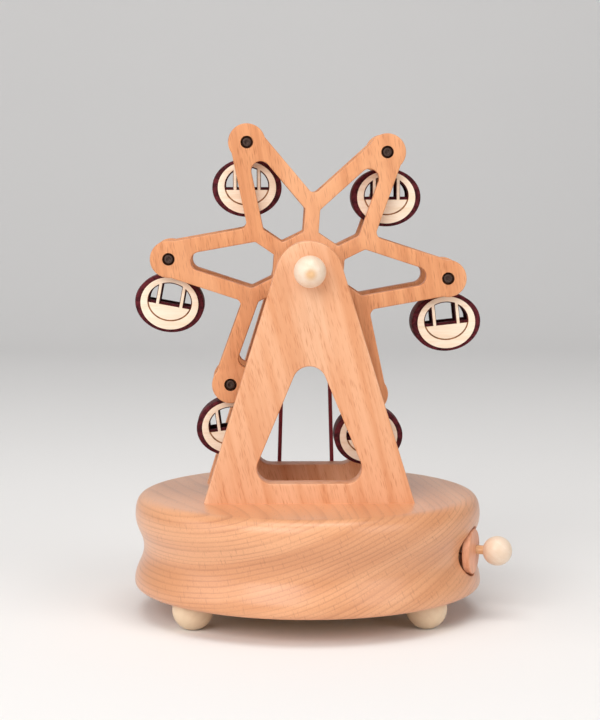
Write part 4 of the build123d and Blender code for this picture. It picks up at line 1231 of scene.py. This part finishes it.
@dataclass
class Gondola:
    """Oval cabin: a dark hollow drum on a hanger, with a pale face in front and behind."""

    finishes: Finishes
    drop: float = 14.0
    drum_w: float = 10.8
    drum_h: float = 9.05
    half_depth: float = 5.9
    plate_t: float = 1.5
    wall: float = 1.9
    drum_edge: float = 0.55
    face_w: float = 9.05
    face_h: float = 8.1
    face_t: float = 0.9
    ring: float = 2.05
    window_rise: float = 0.5
    bar_x: float = 3.7
    bar_half_w: float = 0.45
    drum_bar_half_w: float = 0.65
    drum_inset: float = 0.35
    basket_top: float = -0.7
    drum_sill: float = 0.1
    groove: float = 0.45
    groove_depth: float = 0.3
    ear_r: float = 2.6
    ear_half_depth: float = 2.0
    pin_r: float = 0.85
    ear_sunk: float = 0.6
    ear_corner: float = 0.3
    sharp: float = 0.02
    sheet_edge: float = 0.03
    layer_edge: float = 0.04
    layer_step: float = 0.01
    tilts: tuple[float, ...] = (6.0, 0.0, 0.0, -10.5, 8.0, 4.0)

    def windows(self, ring_w: float, ring_h: float, bar: float, sill: float) -> list[list[Point2]]:
        """Three windows between an oval, two upright bars and a level sill.

        Args:
            ring_w: Half width of the oval.
            ring_h: Half height of the oval.
            bar: Half width of a bar.
            sill: Height of the windows' lower edge.

        Returns:
            The windows' outlines, counter-clockwise.
        """
        found = []
        level = sill - self.window_rise
        reach = ring_w * math.sqrt(1 - (level / ring_h) ** 2)
        for low, high in ((-reach, -self.bar_x - bar), (-self.bar_x + bar, self.bar_x - bar),
                          (self.bar_x + bar, reach)):
            start, end = math.acos(min(high / ring_w, 1)), math.acos(max(low / ring_w, -1))
            unit = arc((0, 0), 1, start, end, 20)
            top = [(ring_w * x, ring_h * y) for x, y in unit if ring_h * y > level + self.sharp]
            found.append(shifted([*top, (low, level), (high, level)], 0, self.window_rise))
        return found

    def bowl(self, ring_w: float, ring_h: float, top: float) -> list[Point2]:
        """Lower part of an oval below a level line, counter-clockwise."""
        level = top - self.window_rise
        start = math.asin(level / ring_h)
        unit = arc((0, 0), 1, -math.pi - start, start, 60)
        return shifted([(ring_w * x, ring_h * y) for x, y in unit], 0, self.window_rise)

    def drum(self) -> bpy.types.Object:
        """Hollow drum about its own centre, with windows through both ends."""
        depth = 2 * self.half_depth
        ring_w = self.face_w - self.ring - self.drum_inset
        ring_h = self.face_h - self.ring - self.drum_inset
        drum = self.plate("cabin_drum", oval(self.drum_w, self.drum_h, 128), [], -self.half_depth, depth,
                          self.drum_edge)
        hollow = self.plate(
            "hollow", oval(self.drum_w - self.wall, self.drum_h - self.wall, 96), [],
            -self.half_depth + self.plate_t, depth - 2 * self.plate_t, self.sharp)
        Bench.combine(drum, hollow, Solid.CUT)
        for number, window in enumerate(self.windows(ring_w, ring_h, self.drum_bar_half_w, self.drum_sill)):
            cutter = self.plate(
                f"window_{number}", window, [], -self.half_depth - 1, depth + 2, self.sharp)
            Bench.combine(drum, cutter, Solid.CUT)
        return Bench.finish(drum, DRUM_ANGLE)

    def plate(self, name: str, outline: Sequence[Point2], holes: Sequence[Sequence[Point2]], front: float,
              thickness: float, edge: float) -> bpy.types.Object:
        """Board about the cabin's own centre, which stands at the origin until it is placed."""
        piece = Bench.board(name, outline, holes, front, thickness, edge, 2)
        piece = Bench.place(piece, Matrix.Translation(Vector((-AXIS_X * MM, 0, 0))))
        return Bench.finish(piece)

    def ear(self) -> bpy.types.Object:
        """Hanger from the pin down into the drum, about the pin."""
        low = -self.drop + self.drum_h - self.wall * self.ear_sunk
        corner = self.ear_corner
        outline = hull([
            (0, 0, self.ear_r), (-self.ear_r + corner, low + corner, corner),
            (self.ear_r - corner, low + corner, corner),
        ], 64)
        bore = oval(self.pin_r, self.pin_r, 32)
        return self.plate(
            "hanger", outline, [bore], -self.ear_half_depth, 2 * self.ear_half_depth, corner)

    def face(self) -> bpy.types.Object:
        """Pale face: a sheet with windows, a ring and bars on it, and a basket inside the burnt line."""
        ring_w, ring_h = self.face_w - self.ring, self.face_h - self.ring
        back_front = -self.half_depth - self.face_t + self.groove_depth
        windows = self.windows(ring_w, ring_h, self.bar_half_w, self.basket_top)
        outline = oval(self.face_w, self.face_h, 128)
        back = self.plate(
            "face_back", outline, windows, back_front, self.face_t - self.groove_depth, self.sheet_edge)
        front = -self.half_depth - self.face_t
        opening = shifted(oval(ring_w, ring_h, 96), 0, self.window_rise)
        deep, edge, step = self.groove_depth, self.layer_edge, self.layer_step
        layers = [self.plate("face_ring", outline, [opening], front, deep, edge)]
        bar_top = self.window_rise + ring_h * math.sqrt(1 - (self.bar_x / ring_w) ** 2) + self.bar_half_w
        for side in (-1, 1):
            left, right = side * self.bar_x - self.bar_half_w, side * self.bar_x + self.bar_half_w
            bar = [(left, self.basket_top), (right, self.basket_top), (right, bar_top), (left, bar_top)]
            layers.append(self.plate("face_bar", bar, [], front + step, deep, edge))
        basket = self.bowl(ring_w - self.groove, ring_h - self.groove, self.basket_top)
        layers.append(self.plate("face_basket", basket, [], front - step, deep, edge))
        for part in (back, *layers):
            part.data.materials.append(self.finishes.face)
            part.data.materials.append(self.finishes.burnt)
        self.scorch(back, True)
        for layer in layers:
            self.scorch(layer, False)
        return Bench.merge([back, *layers], "cabin_face")

    @staticmethod
    def scorch(part: bpy.types.Object, front_too: bool) -> None:
        """Give the cut walls, and if asked the front face, the burnt material."""
        for polygon in part.data.polygons:
            wall = abs(polygon.normal.y) < 0.5
            if wall or (front_too and polygon.normal.y < -0.5):
                polygon.material_index = 1

    def build(self, pins: Sequence[Point2]) -> None:
        """Model a cabin once and hang a copy at each pin.

        Args:
            pins: Pin places as (x from the base's axis, z).
        """
        drum, ear, face = self.drum(), self.ear(), self.face()
        for number, ((x, z), tilt) in enumerate(zip(pins, self.tilts), start=1):
            body = f"gondola_{number}"
            at_pin = Matrix.Translation(from_axis(x, 0, z) * MM)
            centre = Matrix.Translation(from_axis(x, 0, z - self.drop) * MM)
            lean = Matrix.Rotation(-math.radians(tilt), 4, "Y")
            shell = Bench.place(Bench.copy(drum, f"cabin_{number}_drum"), centre @ lean)
            Bench.combine(shell, Bench.place(Bench.copy(ear, f"ear_{number}"), at_pin), Solid.JOIN)
            Bench.pick(shell)
            bpy.ops.object.shade_smooth_by_angle(angle=DRUM_ANGLE)
            put_on(shell, body, self.finishes.drum, [f"gondola_{number}_drum"])
            for side in Side:
                turn = Matrix.Identity(4) if side is Side.FRONT else Matrix.Rotation(math.pi, 4, "Z")
                name = side.name.lower()
                sheet = Bench.place(Bench.copy(face, f"cabin_{number}_face_{name}"), centre @ lean @ turn)
                put_on(sheet, body, self.finishes.face, [f"gondola_{number}_{name}_face"])
        for model in (drum, ear, face):
            bpy.data.objects.remove(model)


# ------------------------------------------------------------------ belt drive


@dataclass
class BeltDrive:
    """Upper pulley behind the rear frame and the round elastic belt."""

    finishes: Finishes
    cord_r: float = 0.65
    cord_gap: float = 0.15
    width: float = 5.0
    upper_belt_r: float = 6.8
    upper_flange_r: float = 8.5
    lower_belt_r: float = 9.3
    mouth: float = 1.5
    belt_y: float = 26.8
    axle_r: float = 2.02
    hub_r: float = 2.9
    hub_slope: float = 0.4
    face_sink: float = 0.25
    rim_w: float = 1.2
    slope: float = 0.3
    soft: float = 0.35
    bend: float = 0.1
    mouth_soft: Point2 = (0.15, 0.2)
    groove_lift: float = 0.5

    def pulley(self) -> None:
        """Turn the upper pulley with a round groove and softened rims."""
        half, soft, bend, r = self.width / 2, self.soft, self.bend, self.upper_flange_r
        floor = self.upper_belt_r - self.cord_r - self.cord_gap
        centre_r = self.upper_belt_r + self.groove_lift
        unit = arc((0, 0), 1, -math.pi / 2, math.pi / 2, 14)
        groove = [
            (centre_r - (centre_r - floor) * x, (self.cord_r + self.cord_gap) * y) for x, y in unit
        ]
        face, web = r - self.rim_w, half - self.face_sink
        side = [
            (self.axle_r, half), (self.hub_r, half), (self.hub_r + self.hub_slope, web),
            (face - self.slope, web), (face, half), (r - soft, half), (r - bend, half - bend),
            (r, half - soft), (r, self.mouth + self.mouth_soft[1]), (r - self.mouth_soft[0], self.mouth),
        ]
        front = [(radius, -height) for radius, height in side]
        profile = [*front, *groove, *reversed(side), front[0]]
        at = from_axis(0, self.belt_y, AXLE_Z)
        piece = Bench.lathe("upper_pulley_wheel", profile, at, -TO_FRONT, 128)
        put_on(Bench.finish(piece), Body.WHEEL.value, self.finishes.pulley, ["upper_pulley"])

    def belt(self) -> None:
        """Bend a round cord round both pulleys."""
        lean = math.asin((self.lower_belt_r - self.upper_belt_r) / (AXLE_Z - CRANK_Z))
        over = shifted(arc((0, 0), self.upper_belt_r, lean, math.pi - lean, 48), 0, AXLE_Z)
        under = shifted(arc((0, 0), self.lower_belt_r, math.pi - lean, FULL_TURN + lean, 64), 0, CRANK_Z)
        left = self.straight(over[-1], under[0])
        right = self.straight(under[-1], over[0])
        path = [*over, *left, *under, *right]
        Bench.clear()
        bpy.ops.curve.primitive_bezier_curve_add()
        cord = Bench.named("drive_cord")
        curve = cord.data
        curve.splines.clear()
        curve.dimensions = "3D"
        curve.bevel_depth = self.cord_r * MM
        curve.bevel_resolution = 6
        spline = curve.splines.new("POLY")
        spline.points.add(len(path) - 1)
        for point, (x, z) in zip(spline.points, path):
            point.co = ((AXIS_X + x) * MM, self.belt_y * MM, z * MM, 1)
        spline.use_cyclic_u = True
        Bench.pick(cord)
        bpy.ops.object.convert(target="MESH")
        Bench.settle(cord)
        put_on(Bench.finish(cord, CORD_ANGLE), Body.BASE.value, self.finishes.cord,
               ["drive_belt"])

    @staticmethod
    def straight(start: Point2, end: Point2, steps: int = 24) -> list[Point2]:
        """Points between two ends, ends left out."""
        return [
            (start[0] + (end[0] - start[0]) * k / steps, start[1] + (end[1] - start[1]) * k / steps)
            for k in range(1, steps)
        ]

    def build(self) -> None:
        """Make the pulley and the belt."""
        self.pulley()
        self.belt()


# ------------------------------------------------------------------ crank


@dataclass
class Crank:
    """Disc in the base's recess, off-centre peg and ball knob."""

    finishes: Finishes
    disc_r: float = 7.0
    disc_t: float = 2.4
    disc_face: float = 54.7
    peg_r: float = 1.4
    peg_offset: float = 3.0
    peg_in: float = 2.0
    knob_r: float = 4.6
    knob_centre: float = 61.25
    knob_flat_r: float = 2.2
    disc_soft: float = 0.45
    disc_rings: tuple[float, ...] = (4.5, 2.0, 0.0)
    hole_gap: float = 0.12
    hole_cut: float = 1.2
    peg_soft: float = 0.2
    peg_in_knob: float = 1.5
    knob_bore: float = 1.6
    mouth_gap: float = 0.1
    mouth_soft: float = 0.25

    def along(self, distance: float, offset: float = 0.0) -> Vector:
        """Point on the crank's axis, or beside it, in millimetres."""
        beside = Vector((-math.sin(CRANK_ANGLE), math.cos(CRANK_ANGLE), 0))
        return from_axis(0, 0, CRANK_Z) + CRANK_AIM * distance + beside * offset

    def build(self) -> None:
        """Make the disc, the peg and the knob."""
        self.disc()
        self.peg()
        self.knob()

    def disc(self) -> None:
        """Turn the disc and sink the peg's hole in its face."""
        soft, r, top = self.disc_soft, self.disc_r, self.disc_t
        outer = arc((r - soft, top - soft), soft, 0, math.pi / 2, 5)
        inner = arc((r - soft, soft), soft, -math.pi / 2, 0, 5)
        profile = [(0, 0), (3, 0), *inner, *outer, *((ring, top) for ring in self.disc_rings)]
        disc = Bench.lathe("crank_disc_turned", profile, self.along(self.disc_face - top), CRANK_AIM, 96)
        at = self.along(self.disc_face, self.peg_offset)
        hole = Bench.peg("peg_hole", self.peg_r + self.hole_gap, self.hole_cut, at, CRANK_AIM)
        Bench.combine(disc, hole, Solid.CUT)
        put_on(Bench.finish(disc), Body.CRANK.value, self.finishes.disc, ["crank_disc"])

    @property
    def knob_seat(self) -> float:
        """Distance from the knob's centre to its flat."""
        return math.sqrt(self.knob_r ** 2 - self.knob_flat_r ** 2)

    def peg(self) -> None:
        """Turn the peg between the disc and the knob."""
        length = self.knob_centre - self.knob_seat + self.peg_in_knob - self.disc_face + self.peg_in
        r, soft = self.peg_r, self.peg_soft
        rod = [(0, 0), (r - soft, 0), (r, soft), (r, length * 0.5), (r, length - soft), (r - soft, length),
               (0, length)]
        at = self.along(self.disc_face - self.peg_in, self.peg_offset)
        peg = Bench.lathe("crank_peg_dowel", rod, at, CRANK_AIM, 48)
        put_on(Bench.finish(peg), Body.CRANK.value, self.finishes.peg, ["crank_peg"])

    def knob(self) -> None:
        """Turn the ball knob with the bore that the peg sits in."""
        flat, mouth, soft = -self.knob_seat, self.peg_r + self.mouth_gap, self.mouth_soft
        ball = arc((0, 0), self.knob_r, -math.acos(self.knob_flat_r / self.knob_r), math.pi / 2, 48)
        profile = [(0, flat + self.knob_bore), (mouth, flat + self.knob_bore), (mouth, flat + soft),
                   (mouth + soft, flat), *ball[:-1], (0, self.knob_r)]
        centre = self.along(self.knob_centre, self.peg_offset)
        knob = Bench.lathe("crank_ball_knob", profile, centre, CRANK_AIM, 96)
        wood = BeadWood("bead_knob", centre, (15, 50, 30)).build()
        put_on(Bench.finish(knob, BALL_ANGLE), Body.CRANK.value, wood, ["crank_knob"])


# ------------------------------------------------------------------ movement and fixings


@dataclass
class Movement:
    """The hidden CAD pieces, which keep their shape and get their finishes."""

    finishes: Finishes

    def build(self, nodes: dict[str, bpy.types.Object]) -> None:
        """Dress the CAD nodes.

        Args:
            nodes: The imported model's nodes by name.
        """
        f = self.finishes
        dress = {
            f.steel: ("cover_screws", "plate_screws", "comb_screws", "crank_shaft", "drum_arbor", "comb"),
            f.zinc: ("movement_plate", "front_bearing", "rear_bearing", "crank_bearing"),
            f.brass: ("pin_cylinder", "drum_gear", "crank_pinion", "crank_bushing"),
            f.pulley: ("lower_pulley",),
            f.cover: ("bottom_cover",),
            f.peg: ("frame_dowels",),
        }
        for finish, names in dress.items():
            for name in names:
                materials = nodes[name].data.materials
                materials.clear()
                materials.append(finish)
                LOG.info("node %s keeps its shape in %s", name, finish.name)


# ------------------------------------------------------------------ studio


@dataclass(frozen=True)
class Lamp:
    """Rectangular lamp that faces the toy. Metres and watts, the colour is linear."""

    name: str
    at: tuple[float, float, float]
    power: float
    colour: Colour
    size: Point2 = (0.8, 0.8)

    def build(self, aim: Vector) -> None:
        """Hang the lamp and turn it to a point."""
        Bench.clear()
        bpy.ops.object.light_add(type="AREA", location=self.at)
        lamp = bpy.context.view_layer.objects.active
        lamp.name = self.name
        lamp.data.shape = "RECTANGLE"
        lamp.data.size, lamp.data.size_y = self.size
        lamp.data.energy = self.power
        lamp.data.color = self.colour
        lamp.rotation_euler = (aim - Vector(self.at)).to_track_quat("-Z", "Y").to_euler()


@dataclass
class Studio:
    """Floor, backdrop, lights and camera."""

    eye: Vector = field(default_factory=lambda: from_axis(-15.2, -612.4, 139.3))
    yaw: float = 1.196
    pitch: float = 5.55
    lens: float = 97.15
    floor_colour: Colour = linear(243, 242, 241)
    floor_w: float = 6.0
    floor_d: float = 3.0
    floor_y: float = -0.6
    bend_steps: int = 12
    bend_step: float = 0.08
    wall: float = 2.4
    aim: Vector = field(default_factory=lambda: Vector((0, 0, 0.08)))
    sky: tuple[float, float, float, float] = (0.93, 0.95, 1.0, 1)
    sky_strength: float = 0.20
    lamps: tuple[Lamp, ...] = (
        Lamp("key", (-0.56, -1.20, 0.80), 11.0, (1.0, 0.985, 0.97), (1.0, 0.8)),
        Lamp("top", (0.0, -0.35, 1.25), 8.4, (1.0, 0.98, 0.95), (1.0, 0.8)),
        Lamp("left_fill", (-1.2, -0.40, 0.45), 3.8, (1.0, 0.98, 0.96)),
        Lamp("right_fill", (0.95, -0.85, 0.55), 4.4, (1.0, 0.985, 0.97)),
    )

    def paper(self) -> bpy.types.Material:
        """Matt paper with a trace of unevenness."""
        r = Recipe("studio_paper")
        cloud = r.noise(r.mapped(size=(3, 3, 3)), 1.0, 2.0)
        deep = tuple(0.92 * c for c in self.floor_colour)
        shade = r.blend(r.band(cloud, 0.3, 0.7, 0.0, 0.12), self.floor_colour, deep)
        return r.finish(shade, 0.85, Specular_IOR_Level=0.2)

    def sweep(self) -> None:
        """Bend one sheet into the floor and the backdrop."""
        Bench.clear()
        bpy.ops.mesh.primitive_plane_add(size=1, location=(0, 0, 0))
        sheet = Bench.named("studio_sweep")
        sheet.scale = (self.floor_w, self.floor_d, 1)
        sheet.location = (0, self.floor_y, 0)
        Bench.settle(sheet)
        rear = self.floor_y + self.floor_d / 2
        with Bench.edit(sheet):
            bpy.ops.mesh.select_all(action="DESELECT")
            bpy.ops.object.mode_set(mode="OBJECT")
            for edge in sheet.data.edges:
                edge.select = all(sheet.data.vertices[v].co.y > rear - self.bend_step for v in edge.vertices)
            bpy.ops.object.mode_set(mode="EDIT")
            for k in range(self.bend_steps):
                bend = math.radians(90) * (k + 1) / self.bend_steps
                move = Vector((0, math.cos(bend), math.sin(bend))) * self.bend_step
                bpy.ops.mesh.extrude_edges_move(TRANSFORM_OT_translate={"value": move})
            bpy.ops.mesh.extrude_edges_move(TRANSFORM_OT_translate={"value": Vector((0, 0, self.wall))})
        with Bench.edit(sheet):
            bpy.ops.mesh.normals_make_consistent(inside=False)
        Bench.pick(sheet)
        bpy.ops.object.shade_smooth()
        sheet.data.materials.append(self.paper())

    def lights(self) -> None:
        """One broad light above the front, one overhead, weaker ones at the sides, an even world."""
        for lamp in self.lamps:
            lamp.build(self.aim)
        world = bpy.data.worlds.new("studio_world")
        bpy.context.scene.world = world
        world.use_nodes = True
        background = world.node_tree.nodes["Background"]
        background.inputs["Color"].default_value = self.sky
        background.inputs["Strength"].default_value = self.sky_strength

    def camera(self) -> None:
        """Stand the camera where the photograph was taken from."""
        Bench.clear()
        bpy.ops.object.camera_add(location=self.eye * MM)
        camera = bpy.context.view_layer.objects.active
        camera.name = "photo_camera"
        yaw, pitch = math.radians(self.yaw), math.radians(self.pitch)
        ahead = Vector((math.sin(yaw) * math.cos(pitch), math.cos(yaw) * math.cos(pitch), -math.sin(pitch)))
        camera.rotation_euler = ahead.to_track_quat("-Z", "Y").to_euler()
        camera.data.sensor_width = 36.0
        camera.data.lens = self.lens
        camera.data.clip_start = 0.01
        camera.data.clip_end = 20.0
        bpy.context.scene.camera = camera

    def build(self) -> None:
        """Set up the studio and the view settings."""
        self.sweep()
        self.lights()
        self.camera()
        bpy.context.scene.view_settings.view_transform = "Standard"


def main() -> None:
    """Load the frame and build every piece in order."""
    logging.basicConfig(level=logging.INFO, format="%(name)s: %(message)s")
    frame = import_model()
    finishes = Finishes()
    TurnedBase(finishes).build()
    for side in Side:
        AFrame(finishes, side).build()
    wheel = FerrisWheel(finishes)
    wheel.build()
    Gondola(finishes).build(wheel.pins())
    BeltDrive(finishes).build()
    Crank(finishes).build()
    Movement(finishes).build(frame["nodes"])
    Studio().build()
    Bench.clear()


if __name__ == "__main__":
    main()
